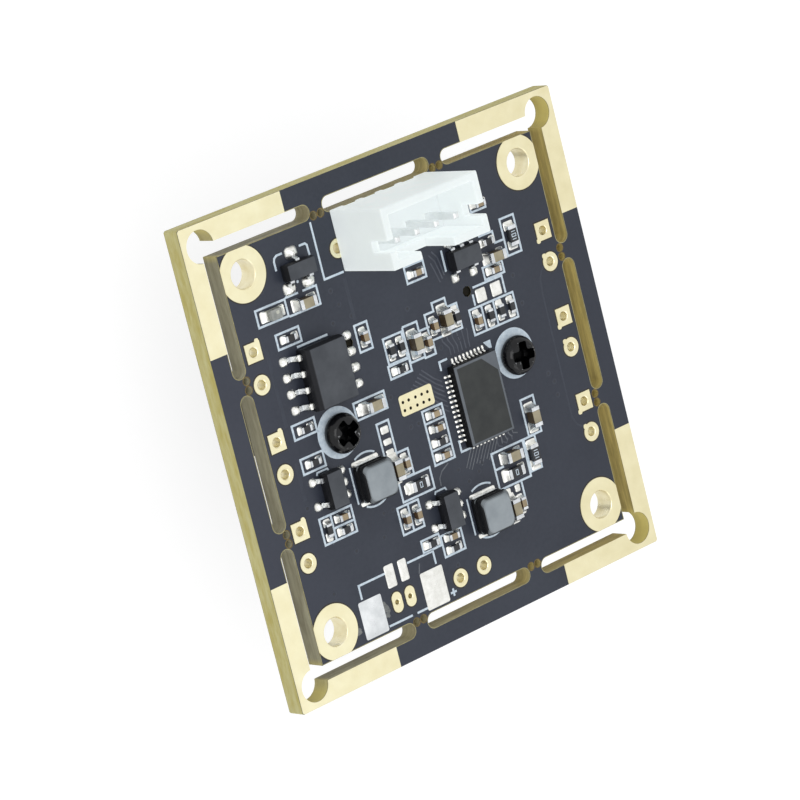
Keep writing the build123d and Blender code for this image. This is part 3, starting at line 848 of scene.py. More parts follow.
def corner_land(side_x, side_y):
    """Outline of the L-shaped land at one corner of the frame."""
    reach = 9.0
    edge = frame_edge - 0.015
    cut_r = corner_hole_r + 0.005
    cut = [
        (corner_hole_at + cut_r * cos(radians(angle)), corner_hole_at + cut_r * sin(radians(angle)))
        for angle in range(-87, 178, 6)
    ]
    low = slot_far_edge + 0.005
    line = [
        (reach, low), (reach, edge), (edge - 0.13, edge), (edge, edge - 0.13), (edge, reach), (low, reach),
    ] + cut
    return [(side_x * x, side_y * y) for x, y in line]


lands, linings, clearances = new_shape(), new_shape(), new_shape()
for middle, outline, hole_r in land_middles():
    plated_hole(lands, linings, middle, outline, hole_r)
    # The rings round the lands are bare laminate at the mask's edge, painted much darker as shade along the
    # land's edge.
    around = clipped(shrunk(outline, middle, -clearance_out), inner_edge - mask_set_back)
    stroke(clearances, around, clearance_wide, back_z, clearance_thick, True)
for x in header_pins_x:
    plated_hole(lands, linings, (x, pin_row_y), circle(x, pin_row_y, pin_land_r), pin_hole_r)
for side_x, side_y in quarters:
    for low, high in ((back_z, back_z + land_thick), (front_z - land_thick, front_z)):
        slab(lands, corner_land(side_x, side_y), low, high)
field = rounded_rectangle(-1.25, -0.12, 3.4, 1.63, 0.24, 5)
slab(lands, field, back_z, back_z + land_thick)
for group in edge_hole_groups:
    upper, lower = group + edge_hole_half_pitch, group - edge_hole_half_pitch
    for x, y in (
        (0.5 - edge_hole_x, upper + 0.74), (edge_hole_x - 0.5, lower + 0.58),
        (edge_hole_x - 0.66, upper - 0.68),
    ):
        slab(
            lands, rounded_rectangle(x, y, key_mark_side, key_mark_side, 0.16), back_z,
            back_z + land_thick * 0.9,
        )
piece_from("plated_lands", lands, gold)
piece_from("hole_linings", linings, tube_gold)
piece_from("land_clearances_and_shade", clearances, clearance_shade_look, smooth=False)


# Bare laminate where the mask is set back from the slots

def slot_borders():
    """Closed lines round the straight slots, and open ones beside the corner slots, for the +X side."""
    for tabs, turns in (
        (tabs_across, (0, 180)), (tabs_up, (90,)), (tuple(-tab for tab in reversed(tabs_up)), (270,)),
    ):
        low, high = tabs
        for turn in turns:
            yield turn, slot_line(low + tab_half, high - tab_half, True, True), True
            yield turn, slot_line(-frame_edge, low - tab_half, False, True), False
            yield turn, slot_line(high + tab_half, frame_edge, True, False), False


def slot_line(start, end, round_start, round_end):
    """A line round a slot along +Y's side, just outside the cut; corner ends stop at the corner hole."""
    out = mask_set_back / 2
    low, high = inner_edge - out, slot_far_edge + out
    middle, radius = (low + high) / 2, (high - low) / 2
    left = arc_line(start + radius - out, middle, radius, 90, 270) if round_start else [(-inner_edge, low)]
    right = arc_line(end - radius + out, middle, radius, -90, 90) if round_end else [(inner_edge, low)]
    if round_start and round_end:
        return left + right
    if round_end:
        return left + right + [(-corner_hole_at + corner_hole_r, high)]
    return [(corner_hole_at - corner_hole_r, high)] + left + right


borders, bite_rims = new_shape(), new_shape()
for turn, line, closed in slot_borders():
    stroke(borders, rotated(line, turn), mask_set_back, back_z, border_thick, closed)
for turn, tabs in ((0, tabs_across), (90, tabs_up), (180, tabs_across), (270, [-tab for tab in tabs_up])):
    bites = [(tab + way * bite_from_tab, inner_edge + bite_past_edge) for tab in tabs for way in (-1, 1)]
    for place in rotated(bites, turn):
        stroke(
            bite_rims, circle(*place, bite_r + bite_rim_wide / 2, 20), bite_rim_wide, back_z, border_thick,
            True,
        )
piece_from("slot_borders", borders, laminate_pale, smooth=False)
piece_from("bite_rims", bite_rims, bite_look, smooth=False)

# Painted shade: dark discs on the field land where its vias dimple it, and dark linings down the two peg
# holes above the pegs, stand in for the holes' dark insides.
hole_shades = new_shape()
for row in (0.15, -0.5):
    for x in (-2.6, -2.0, -1.3, -0.65, -0.05):
        slab(hole_shades, circle(x, row, 0.13, 14), back_z + land_thick - 0.01, back_z + land_thick + 0.004)
for x, y in ((-6.2, 6.14), (6.13, 6.2)):
    slab(hole_shades, circle(x, y, 0.36, 20), back_z - 0.19, back_z - 0.12)
    tube(hole_shades, [raised(circle(x, y, 0.385, 24), z) for z in (back_z - 0.005, back_z - 0.19)])
piece_from("via_and_peg_hole_shades", hole_shades, hole_shade_look)

covered_vias = [
    (-10.35, -9.05), (-7.5, -9.0), (-13.4, -11.4), (-6.95, -7.25), (-6.05, -7.3), (-1.25, -13.55),
    (-2.4, -1.9),
    (-1.6, -1.9), (1.05, -6.6), (2.2, -5.3), (1.0, -5.1), (3.4, -6.8), (3.0, -7.4), (1.8, -7.8), (12.5, -3.3),
    (12.5, -4.4), (12.1, -2.5), (-6.65, 10.4), (-6.2, 9.2), (-7.2, 8.0), (-5.3, 8.0), (10.95, 5.95),
    (0.05, 6.8),
    (2.3, 2.9), (4.2, 3.0), (0.4, -1.7), (-13.8, -4.4), (11.2, 3.6), (8.8, -7.2), (-3.6, 0.9), (-12.9, 12.4),
]
via_rings, via_middles = new_shape(), new_shape()
for x, y in covered_vias:
    via_ring(via_rings, x, y, back_z, 1)
    slab(via_middles, circle(x, y, 0.12, 16), back_z, back_z + 0.003)
piece_from("via_rings", via_rings, faint_look)
piece_from("via_middles", via_middles, mask_dark)


# Tinned pads and solder

def wobble(x, y, salt=0.0):
    """A number from -1 to 1 that differs from place to place and is the same every run."""
    value = sin(x * 12.9898 + y * 78.233 + salt * 37.719) * 43758.5453
    return 2 * (value - int(value)) - (1 if value > 0 else -1)


def fillet(shape, foot, pad, height, hollow=2.0, low=back_z, side=1, steps=6):
    """Solder that climbs from the pad's edge to the foot; foot and pad are x, y, wide, tall."""
    rings = [raised(rounded_rectangle(*pad, 0.16, 3), low)]
    thin = 0.03
    for step in range(steps + 1):
        share = step / steps
        values = [pad[i] + (foot[i] - pad[i]) * share for i in range(4)]
        radius = 0.16 + (0.05 - 0.16) * share
        height_here = thin + (height - thin) * share ** hollow
        rings.append(raised(rounded_rectangle(*values, radius, 3), low + side * height_here))
    skin(shape, rings)


def pillow(shape, x, y, wide, tall, height, radius=0.14, low=back_z):
    """A tinned pad with a domed, slightly uneven top."""
    rings = [raised(rounded_rectangle(x, y, wide, tall, radius, 4), low)]
    for share in (0.0, 0.1, 0.24, 0.42, 0.64, 0.86):
        shape_ring = rounded_rectangle(
            x, y, wide * (1 - share), tall * (1 - share), radius * (1 - share * 0.6), 4,
        )
        lift = 0.03 + height * (1 - (1 - share) ** 2.4)
        ring = [(px, py, low + lift * (1 + 0.1 * wobble(px, py))) for px, py in shape_ring]
        rings.append(ring)
    skin(shape, rings)


def islands(name):
    """The separate solids of a node, each as its lowest and highest corner in millimetres."""
    work = bmesh.new()
    work.from_mesh(nodes[name].data)
    bmesh.ops.remove_doubles(work, verts=work.verts, dist=1e-7)
    left = set(work.verts)
    found = []
    while left:
        stack = [left.pop()]
        group = []
        while stack:
            vert = stack.pop()
            group.append(vert.co / mm)
            for edge in vert.link_edges:
                other = edge.other_vert(vert)
                if other in left:
                    left.remove(other)
                    stack.append(other)
        low = tuple(min(co[i] for co in group) for i in range(3))
        high = tuple(max(co[i] for co in group) for i in range(3))
        found.append((low, high))
    work.free()
    return sorted(found)


def middle_of(box):
    return tuple((box[0][i] + box[1][i]) / 2 for i in range(3))


def nearest(place, boxes):
    return min(boxes, key=lambda box: hypot(middle_of(box)[0] - place[0], middle_of(box)[1] - place[1]))


def chip_solder(shape, ends, bodies, beyond, beside, climb):
    """Solder at both ends of every chip part of one size."""
    body_boxes = islands(bodies)
    for box in islands(ends):
        x, y, z = middle_of(box)
        body_x, body_y, _ = middle_of(nearest((x, y), body_boxes))
        wide, tall = box[1][0] - box[0][0], box[1][1] - box[0][1]
        high = box[1][2] - box[0][2]
        facing_back = z > back_z
        low, side = (back_z, 1) if facing_back else (front_z, -1)
        out = beyond * (1 + 0.25 * wobble(x, y))
        in_by = 0.1
        if abs(x - body_x) > abs(y - body_y):
            way = 1 if x > body_x else -1
            pad = (
                x + way * (out - in_by) / 2, y + 0.03 * wobble(y, x), wide + out + in_by, tall + 2 * beside,
            )
        else:
            way = 1 if y > body_y else -1
            pad = (
                x + 0.03 * wobble(y, x), y + way * (out - in_by) / 2, wide + 2 * beside, tall + out + in_by,
            )
        foot = (x, y, wide - 0.04, tall - 0.04)
        fillet(shape, foot, pad, high * climb * (1 + 0.12 * wobble(x, y, 2)), 1.8, low, side)


def lead_solder(shape, leads, bodies, beyond, across, height, under=0.3):
    """A mound of solder over the toe of every bent lead."""
    body_boxes = islands(bodies)
    for box in islands(leads):
        x, y, _ = middle_of(box)
        body_x, body_y, _ = middle_of(nearest((x, y), body_boxes))
        out = beyond * (1 + 0.12 * wobble(x, y))
        long = out + under
        if box[1][0] - box[0][0] > box[1][1] - box[0][1]:
            way = 1 if x > body_x else -1
            tip = box[1][0] if way > 0 else box[0][0]
            pillow(shape, tip + way * (out - under) / 2, y, long, across, height, 0.3 * across + 0.08)
        else:
            way = 1 if y > body_y else -1
            tip = box[1][1] if way > 0 else box[0][1]
            pillow(shape, x, tip + way * (out - under) / 2, across, long, height, 0.3 * across)


joints = new_shape()
chip_solder(joints, "large_capacitor_ends", "large_capacitors", 0.42, 0.1, 0.75)
chip_solder(joints, "large_resistor_ends", "large_resistors", 0.42, 0.1, 0.85)
chip_solder(joints, "small_capacitor_ends", "small_capacitors", 0.32, 0.08, 0.8)
chip_solder(joints, "small_resistor_ends", "small_resistors", 0.34, 0.08, 0.85)
lead_solder(joints, "memory_leads", "memory_body", 0.6, 0.74, 0.34)
lead_solder(joints, "transistor_leads", "transistor_body", 0.52, 1.2, 0.42, 0.48)
lead_solder(joints, "regulator_leads", "regulator_bodies", 0.42, 0.72, 0.34, 0.36)
memory_x = middle_of(islands("memory_body")[0])[0]
for low, high in islands("memory_leads"):
    if high[0] > memory_x:
        continue
    y, root, top = (low[1] + high[1]) / 2, high[0] - 0.26, high[2]
    sizes = [
        (0.3, 0.4, top - 0.24), (0.42, 0.52, top - 0.16), (0.42, 0.52, top - 0.02), (0.3, 0.4, top + 0.05),
    ]
    skin(joints, [raised(rounded_rectangle(root, y, wide, tall, 0.14), z) for wide, tall, z in sizes])
for box in islands("coil_terminals"):
    x, y, _ = middle_of(box)
    way = 1 if y > middle_of(nearest((x, y), islands("coil_cores")))[1] else -1
    pillow(joints, x - 0.1, y + way * 0.12, 2.7, 0.44, 0.16, 0.2)
lamp_x, lamp_y, _ = middle_of(islands("lamp_carrier")[0])
for way in (-1, 1):
    fillet(
        joints, (lamp_x + way * 0.7, lamp_y, 0.2, 0.74), (lamp_x + way * 0.88, lamp_y, 0.62, 0.9), 0.24, 1.6,
    )
for x in header_pins_x:
    rings = [raised(circle(x, pin_row_y, 0.66, 24), front_z - 0.03)]
    for share in (0.0, 0.12, 0.3, 0.5, 0.72, 1.0):
        rings.append(
            raised(circle(x, pin_row_y, 0.64 - 0.42 * share, 24), front_z - 0.05 - 0.85 * share ** 1.9),
        )
    skin(joints, rings)
piece_from("solder_joints", joints, solder, angle=60)

# Painted highlight: a light spot laid on the lamp's top.
spot = new_shape()
slab(spot, rounded_rectangle(lamp_x + 0.12, lamp_y + 0.12, 0.3, 0.26, 0.08), back_z + 0.6, back_z + 0.606)
piece_from("lamp_highlight", spot, lamp_white)

tinned = new_shape()
for x, y, wide, tall in [
    (7.4, 5.5, 1.05, 1.1), (9.0, 5.5, 1.05, 1.1), (-4.95, -1.25, 0.8, 0.6), (-4.95, -2.2, 0.8, 0.5),
    (-4.95, -3.05, 0.8, 0.5), (-3.97, -14.4, 2.3, 3.0), (-7.85, -12, 0.95, 1.8), (-6.5, -12, 0.85, 1.7),
    (5.3, -9.95, 0.55, 0.6), (6.3, -9.95, 0.55, 0.6), (-6.8, 0.9, 0.6, 0.8), (-4.2, -6.3, 0.6, 0.8),
]:
    pillow(tinned, x, y, wide, tall, 0.09 + 0.02 * min(wide, tall))
piece_from("tinned_pads", tinned, solder, angle=70)
stained_pad = new_shape()
pillow(stained_pad, -10.35, -14.4, 2.3, 3.0, 0.12)
piece_from("stained_pad", stained_pad, stained, angle=70)


# Flux residue left beside one pad

smears = new_shape()
for x, y, radius in (
    (-9.0, -14.25, 0.3), (-8.95, -14.75, 0.22), (-9.05, -13.8, 0.14), (-12.05, -14.95, 0.3),
    (-8.75, -14.5, 0.14),
):
    ring = [
        (px + 0.3 * radius * wobble(px, py), py + 0.3 * radius * wobble(py, px))
        for px, py in circle(x, y, radius, 18)
    ]
    skin(smears, [raised(ring, back_z), raised(shrunk(ring, (x, y), radius * 0.3), back_z + 0.02)])
piece_from("flux_residue", smears, residue)


# Power coils: rounded bobbins with a shallow waist

coils = new_shape()
for box in islands("coil_cores"):
    x, y, _ = middle_of(box)
    profile = [
        (0.02, 2.86, 2.66, 0.3), (0.36, 2.9, 2.68, 0.34), (0.37, 2.98, 2.98, 0.38), (0.5, 2.98, 2.98, 0.38),
        (0.54, 2.9, 2.9, 0.4), (0.98, 2.9, 2.9, 0.4), (1.02, 2.98, 2.98, 0.42), (1.2, 2.97, 2.95, 0.46),
        (1.28, 2.88, 2.8, 0.58), (1.34, 2.78, 2.66, 0.64), (1.38, 2.64, 2.5, 0.66), (1.398, 2.44, 2.3, 0.6),
    ]
    skin(coils, [
        raised(
            rounded_rectangle(x + 0.1 * max(0, z - 1), y - 0.3 * max(0, z - 1), wide, tall, radius, 6),
            back_z + z,
        )
        for z, wide, tall, radius in profile
    ])
coil_piece = piece_from("rounded_coils", coils, ferrite_top, angle=50)
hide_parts("coil_cores")


# Screws: domed heads with a tapered cross recess, and a threaded shank

def cross_outline(reach, half_wide, corner, per_corner=4):
    """A cross with rounded inner corners and softly rounded arm ends."""
    points = []
    for quarter in range(4):
        local = [(reach, -half_wide * 0.6), (reach, half_wide * 0.6), (reach - 0.08, half_wide)]
        middle = half_wide + corner
        for step in range(per_corner + 1):
            angle = radians(-90 - 90 * step / per_corner)
            local.append((middle + corner * cos(angle), middle + corner * sin(angle)))
        local.append((half_wide, reach - 0.08))
        points += rotated(local, 90 * quarter)
    return points


def screw_mesh():
    """One screw about its own axis, with z 0 under its head."""
    long = 4.98
    profile = [(0.7, -long), (0.95, -long + 0.3)]
    steps = 30
    for i in range(steps):
        z = -long + 0.4 + (long - 0.9) * i / steps
        profile.append((0.93 if i % 2 else 0.8, z))
    profile += [
        (0.93, -0.3), (0.93, 0.0), (1.36, 0.0), (1.45, 0.1), (1.52, 0.24), (1.56, 0.38), (1.57, 0.5),
        (1.55, 0.62),
    ]
    profile += [
        (1.5, 0.76), (1.43, 0.89), (1.34, 1.01), (1.25, 1.1), (1.18, 1.15), (1.11, 1.18), (1.0, 1.19),
        (0.3, 1.19),
    ]
    body, cutter = new_shape(), new_shape()
    skin(body, lathe(profile, 64))
    cuts = [(1.25, 1.12, 0.4, 0.2), (1.1, 1.06, 0.38, 0.2), (0.6, 0.98, 0.34, 0.2), (0.35, 0.7, 0.26, 0.16)]
    skin(cutter, [raised(cross_outline(reach, half, corner), z) for z, reach, half, corner in cuts])
    whole, tool = object_from("screw", body), object_from("screw cutter", cutter)
    cut = whole.modifiers.new("recess", "BOOLEAN")
    cut.object = tool
    cut.solver = "EXACT"
    view = bpy.context.evaluated_depsgraph_get()
    mesh = bpy.data.meshes.new_from_object(whole.evaluated_get(view))
    for made in (whole, tool):
        bpy.data.objects.remove(made)
    return mesh


one_screw = screw_mesh()
screws = new_shape()
for x, turn in ((-screw_at, 28), (screw_at, -5)):
    start = len(screws[0])
    places = rotated([vert.co[:2] for vert in one_screw.vertices], turn, x)
    for (across, along), vert in zip(places, one_screw.vertices):
        screws[0].append((across, along, back_z + vert.co.z))
    screws[1].extend([tuple(start + i for i in face.vertices) for face in one_screw.polygons])
screw_piece = piece_from("cross_head_screws", screws, screw_black, angle=38)
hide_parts("holder_screws")


# Soldered contacts of the controller

contacts = new_shape()
controller_x, controller_y, _ = middle_of(islands("controller_body")[0])
for box in islands("controller_joints"):
    x, y, _ = middle_of(box)
    wide, tall = box[1][0] - box[0][0], box[1][1] - box[0][1]
    if wide < tall and y < controller_y:
        pillow(contacts, x, y + 0.12, wide * 0.9, tall - 0.26, 0.01, 0.08)
    else:
        pillow(contacts, x, y, wide * 0.96, tall * 0.96, 0.1, 0.08)
    if wide > tall:
        inner = x + (wide / 2 - 0.05 if x < controller_x else 0.05 - wide / 2)
        fillet(
            contacts, (inner, y, 0.08, tall * 0.8), ((x + inner) / 2, y, wide * 0.5, tall * 0.9), 0.24, 1.4,
        )
    elif y > controller_y:
        inner = y + 0.05 - tall / 2
        fillet(
            contacts, (x, inner, wide * 0.8, 0.08), (x, (y + inner) / 2, wide * 0.9, tall * 0.5), 0.24, 1.4,
        )
contact_piece = piece_from("controller_contacts", contacts, solder, angle=70)
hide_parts("controller_joints")


# White print

boxes = [
    (-14.0, -10.95, 11.25, 9.8), (-12.75, -10.35, 8.94, 7.66), (-5.4, -4.0, 7.25, 5.0),
    (-3.05, -1.0, 5.4, 3.2),
    (-3.2, -0.9, 3.25, 2.1), (8.1, 10.3, 7.5, 6.4), (0.6, 2.7, 9.95, 8.5),
    (10.9, 12.5, 10.55, 7.45), (-7.3, -4.05, 1.7, 0.2), (-13.4, -11.05, 2.0, 0.75),
    (-13.4, -11.05, -0.65, -1.97),
    (-5.65, -4.3, -0.55, -3.3), (-4.5, -3.15, -3.25, -5.45), (-4.95, -1.55, -5.35, -7.2),
    (-5.7, -3.4, -7.3, -9.6),
    (-13.1, -9.75, -5.5, -7.7), (-1.1, 1.1, -1.1, -5.6), (8.6, 10.1, -3.5, -6.6), (4.5, 8.0, -6.5, -9.6),
    (8.0, 9.3, -6.5, -9.3), (-4.25, -2.3, -10.5, -11.6), (-2.3, -0.05, -10.8, -12.65), (5.8, 10.6, 4.8, 2.65),
]
lines = [
    [(-10.95, 11.25), (-9.65, 11.25)], [(-9.2, 11.25), (-7.85, 11.25), (-7.85, 9.8), (-10.95, 9.8)],
    [(-11.1, 13.4), (-11.1, 14.1), (-11.0, 14.35), (-10.75, 14.5), (-10.2, 14.5)],
    [(-8.5, 14.55), (-7.9, 14.55), (-7.75, 14.4), (-7.72, 13.6)],
    [(-11.0, 7.4), (-7.95, 7.4)], [(-6.93, 15.9), (-6.93, 11.4), (-5.0, 11.4)],
    [(6.93, 11.8), (8.4, 11.8), (8.4, 13.2)], [(8.5, 9.85), (10.0, 9.85), (10.0, 8.9), (10.9, 8.9)],
    [(-0.9, 5.6), (0.6, 5.6), (0.6, 4.8), (1.7, 4.8)],
    [(0.6, 4.8), (0.6, 2.65), (1.7, 2.65), (1.7, 3.6)], [(-0.9, 5.6), (-0.9, 2.75), (0.6, 2.75)],
    [(1.5, 3.7), (1.5, 5.8), (2.45, 5.8), (2.45, 6.45), (3.8, 6.45), (3.8, 5.7),
     (4.82, 5.7), (4.82, 3.7), (1.5, 3.7)],
    [(7.15, 4.8), (7.15, 2.65)], [(8.4, 4.8), (8.4, 2.65)],
    [(6.6, 4.9), (6.6, 5.8)], [(6.75, 6.3), (9.85, 6.3), (9.85, 4.9)], [(-4.55, -7.3), (-4.55, -9.6)],
    [(-11.9, -5.5), (-11.9, -7.7)], [(-11.9, -6.7), (-9.75, -6.7)], [(-1.1, -2.2), (1.1, -2.2)],
    [(-1.1, -4.4), (1.1, -4.4)], [(4.6, 10.0), (4.6, 8.3)],
    [(1.78, 1.2), (1.78, 1.9), (2.6, 1.9)], [(1.8, -4.45), (1.8, -5.4), (2.85, -5.4)],
    [(-11.0, -12.75), (-11.0, -11.65), (-8.3, -11.65)], [(-6.0, -11.65), (-3.3, -11.65), (-3.3, -12.7)],
    [(-9.1, -15.65), (-6.7, -15.65)], [(-6.2, -15.65), (-5.1, -15.65)], [(-2.6, -15.4), (-2.0, -15.4)],
    [(-2.3, -15.1), (-2.3, -15.7)], [(8.4, 11.85), (9.95, 11.85), (9.95, 12.5)], [(4.6, -7.9), (5.5, -7.9)],
    [(6.85, -9.6), (6.85, -11.5), (6.4, -11.5)], [(5.2, -12.3), (5.9, -12.3), (5.9, -12.1)],
]
printed = new_shape()
for i, (left, right, top, bottom) in enumerate(boxes):
    stroke(printed, box_line(left, right, top, bottom), thick=print_height(i), closed=True)
for i, line in enumerate(lines):
    stroke(printed, line, thick=print_height(i + 4))
for x, y in ((-11.6, -2.17), (-1.15, -7.45)):
    stroke(printed, [(x - 0.6, y - 0.2), (x - 0.5, y), (x + 0.5, y), (x + 0.6, y - 0.2)], 0.15)
for x, y in ((-7.4, -4.35), (2.8, -10.55)):
    stroke(printed, arc_line(x, y, 2.15, 118, 62), 0.16)
    stroke(printed, arc_line(x, y, 2.1, -118, -62), 0.16)
    stroke(printed, [(x - 1.66, y + 1.5), (x - 1.66, y - 1.45)], 0.15)
skin(
    printed,
    [raised(circle(-9.42, 12.05, 0.12, 16), back_z),
     raised(circle(-9.42, 12.05, 0.1, 16), back_z + print_thick)],
)
for x, y in ((-screw_at - 0.05, 0.06), (screw_at + 0.05, 0.15)):
    outer, inner = circle(x, y, 2.0, 72), circle(x, y, 1.3, 72)
    rings = [raised(outer, back_z), raised(shrunk(outer, (x, y), 0.02), back_z + print_thick)]
    rings += [raised(inner, back_z + print_thick), raised(inner, back_z)]
    tube(printed, rings)
slab(printed, [(6.44, 1.94), (7.19, 1.94), (7.19, 1.3), (6.9, 1.35)], back_z, back_z + print_thick)
piece_from("white_print", printed, ink, smooth=False)


# Plain figures on jumpers and resistors

def figure_lines(x, y, wide, tall, figures, turn=0):
    """Strokes of plain figures, centred on a place, running along X before the turn."""
    step = wide * 1.45
    for i, figure in enumerate(figures):
        left = (i - (len(figures) - 1) / 2) * step
        if figure == "0":
            local = [
                (left - wide / 2, -tall / 2), (left + wide / 2, -tall / 2), (left + wide / 2, tall / 2),
                (left - wide / 2, tall / 2),
            ]
        else:
            local = [(left, -tall / 2), (left, tall / 2)]
        yield figure == "0", rotated(local, turn, x, y)


figures = new_shape()
resistor_top = back_z + 0.415
for x, y, words, turn in (
    (-3.1, -6.3, "0", 0), (6.35, -8.65, "0", 0), (11.7, 9.0, "101", 90), (8.65, -7.95, "101", 90),
):
    for closed, line in figure_lines(x, y, 0.21, 0.4, words, turn):
        stroke(figures, line, 0.065, resistor_top, 0.012, closed)
piece_from("resistor_figures", figures, ink, smooth=False)


# Traces under the mask

traces = new_shape()
for i in range(7):
    offset = 0.28 * i
    stroke(
        traces, [(1.6, 0.4 - 0.404 * i), (0.9, 0.9 - 0.404 * i), (-0.1 - offset, 1.9 - 0.2 * i)], 0.12,
        thick=trace_thick,
    )
for i in range(6):
    x = 3.1 + 0.4 * i
    stroke(
        traces, [(x, 2.05), (x, 2.6), (x - 0.5 + 0.12 * i, 3.3), (x - 0.5 + 0.12 * i, 3.55)], 0.12,
        thick=trace_thick,
    )
bright_tracks = new_shape()
for i in range(9):
    x = 2.75 + 0.36 * i
    long = 1.15 + 0.16 * (i % 3)
    stroke(
        bright_tracks, [(x, -5.3), (x - 0.08, -5.6), (x - 0.75 * long, -5.6 - long)], 0.09, thick=trace_thick,
    )
for i in range(4):
    x = 5.9 + 0.42 * i
    stroke(
        bright_tracks, [(x, -5.3), (x + 0.05, -5.7), (x + 0.02 + 0.16 * i, -6.15 + 0.1 * i)], 0.09,
        thick=trace_thick,
    )
more_traces = [
    (0.16, [(14.5, 5.75), (13.95, 5.45), (13.6, 4.8), (13.45, 3.6),
            (13.4, -6.6), (13.75, -7.3), (14.45, -7.75)]),
    (0.3, [(-13.8, 8.4), (-13.8, 2.0)]), (0.3, [(-13.8, -0.8), (-13.8, -3.8)]),
    (0.3, [(-5.1, 10.9), (-5.1, 7.6)]),
    (0.12, [(3.3, 10.0), (3.75, 9.4), (3.95, 8.6), (4.1, 7.9)]),
    (0.12, [(3.65, 10.2), (4.1, 9.6), (4.25, 8.8), (4.35, 8.1)]),
    (0.12, [(3.3, 9.4), (3.5, 8.8), (3.8, 7.7)]),
    (0.11, [(0.25, -5.75), (-0.55, -6.15), (-0.9, -6.6), (-0.95, -7.2)]),
    (0.11, [(-5.1, -12.85), (-4.85, -12.1)]), (0.11, [(-6.3, -12.9), (-6.4, -12.2)]),
    (0.12, [(5.9, -5.4), (6.0, -6.0), (6.35, -6.25), (6.6, -5.9)]),
    (0.12, [(6.5, -5.4), (6.95, -5.8), (7.0, -6.2)]), (0.12, [(5.4, -5.4), (5.5, -6.2), (5.9, -6.4)]),
]
wide_tracks = new_shape()
for wide, line in more_traces:
    kind = wide_tracks if wide > 0.13 else bright_tracks if wide < 0.12 else traces
    stroke(kind, line, wide, thick=trace_thick * 0.8)
piece_from("masked_traces", traces, trace_look, smooth=False)
piece_from("wide_tracks", wide_tracks, faint_look, smooth=False)
piece_from("bright_tracks", bright_tracks, bright_look, smooth=False)


# Lens: a turned barrel with a knurled head, baffle steps in its mouth and a cut thread

turned_count = 288


def turned(radius, z, knurl=0.0):
    """A ring about the lens axis; a knurl cuts a groove at every fourth pair of points."""
    points = []
    for i in range(turned_count):
        reach = radius - (knurl if i % 4 > 1 else 0)
        points.append((reach * cos(tau * i / turned_count), reach * sin(tau * i / turned_count), z))
    return points


def helix(shape, low, high, crest, root, pitch, count=96):
    """A cut thread about the lens axis, as one long strip."""
    points, faces = shape
    start = len(points)
    total = int((high - low) / pitch * count)
    for step in range(total + 1):
        angle = tau * step / count
        for share, radius in ((0.0, root), (0.4, crest), (0.6, crest), (1.0, root)):
            points.append((radius * cos(angle), radius * sin(angle), low + pitch * (step / count + share)))
    for step in range(total):
        one, two = start + 4 * step, start + 4 * step + 4
        for j in range(3):
            faces.append((one + j, two + j, two + j + 1, one + j + 1))


head_r, head_high = 7.0, 3.6
thread_crest, thread_root = 5.95, 5.7
glass_seat_r, seat_z, stop_z = 4.53, 1.05, 3.2
well_r, well_z = 2.0, 4.6
barrel_end = 11.3

barrel = new_shape()
rings = [turned(0.02, well_z), turned(well_r, well_z), turned(well_r, stop_z), turned(glass_seat_r, stop_z)]
rings.append(turned(glass_seat_r, seat_z))
baffles = 5
for i in range(baffles):
    outer_r = glass_seat_r + (head_r - 0.8 - glass_seat_r) * (i + 1) / baffles
    z = seat_z * (1 - i / baffles)
    rings += [
        turned(outer_r - 0.02, z), turned(outer_r, z - 0.02),
        turned(outer_r, seat_z * (1 - (i + 1) / baffles) + 0.001),
    ]
rings += [
    turned(head_r - 0.75, 0), turned(head_r - 0.3, 0), turned(head_r - 0.16, 0.14),
    turned(head_r - 0.13, 0.5),
]
rings += [turned(head_r - 0.01, 0.62, 0.12), turned(head_r - 0.01, 2.95, 0.12), turned(head_r - 0.13, 3.07)]
rings += [turned(head_r - 0.16, 3.4), turned(head_r - 0.34, head_high), turned(thread_root + 0.01, head_high)]
rings += [turned(thread_root + 0.01, 7.0), turned(thread_crest, 7.0), turned(thread_crest, barrel_end - 0.2)]
rings += [turned(thread_crest - 0.2, barrel_end), turned(0.02, barrel_end)]
skin(barrel, rings)
helix(barrel, head_high - 0.4, 6.6, thread_crest, thread_root, 0.5)
barrel_piece = piece_from("turned_barrel", barrel, lens_black, angle=30)
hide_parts("lens_barrel")

ring_low, ring_high, ring_r, ring_bore = 5.3, 6.9, 7.19, 6.02
locks = new_shape()
profile = [
    (ring_bore, ring_low, 0), (ring_r - 0.34, ring_low, 0), (ring_r - 0.2, ring_low + 0.14, 0),
    (ring_r - 0.01, ring_low + 0.24, 0.14),
    (ring_r - 0.01, ring_high - 0.24, 0.14), (ring_r - 0.2, ring_high - 0.14, 0),
    (ring_r - 0.34, ring_high, 0), (ring_bore, ring_high, 0),
    (ring_bore, ring_low, 0),
]
tube(locks, [turned(radius, z, knurl) for radius, z, knurl in profile])
lock_piece = piece_from("knurled_lock_ring", locks, lens_black, angle=30)
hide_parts("lock_ring")

dome = new_shape()
profile = [
    (0.02, 1.5), (1.0, 1.53), (2.0, 1.63), (3.0, 1.8), (3.9, 2.02), (4.4, 2.2), (4.5, 2.32), (4.5, 3.14),
    (4.44, 3.19), (0.02, 3.19),
]
skin(dome, lathe(profile, 96))
dome_piece = piece_from("domed_glass", dome, front_glass_look)
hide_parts("front_glass")

inner = new_shape()
profile = [(0.02, 4.05), (0.6, 4.09), (1.2, 4.22), (1.7, 4.42), (1.96, 4.58), (1.96, 4.6), (0.02, 4.6)]
skin(inner, lathe(profile, 64))
piece_from("inner_element", inner, inner_glass_look)


# Crystal: a metal lid on a ceramic base

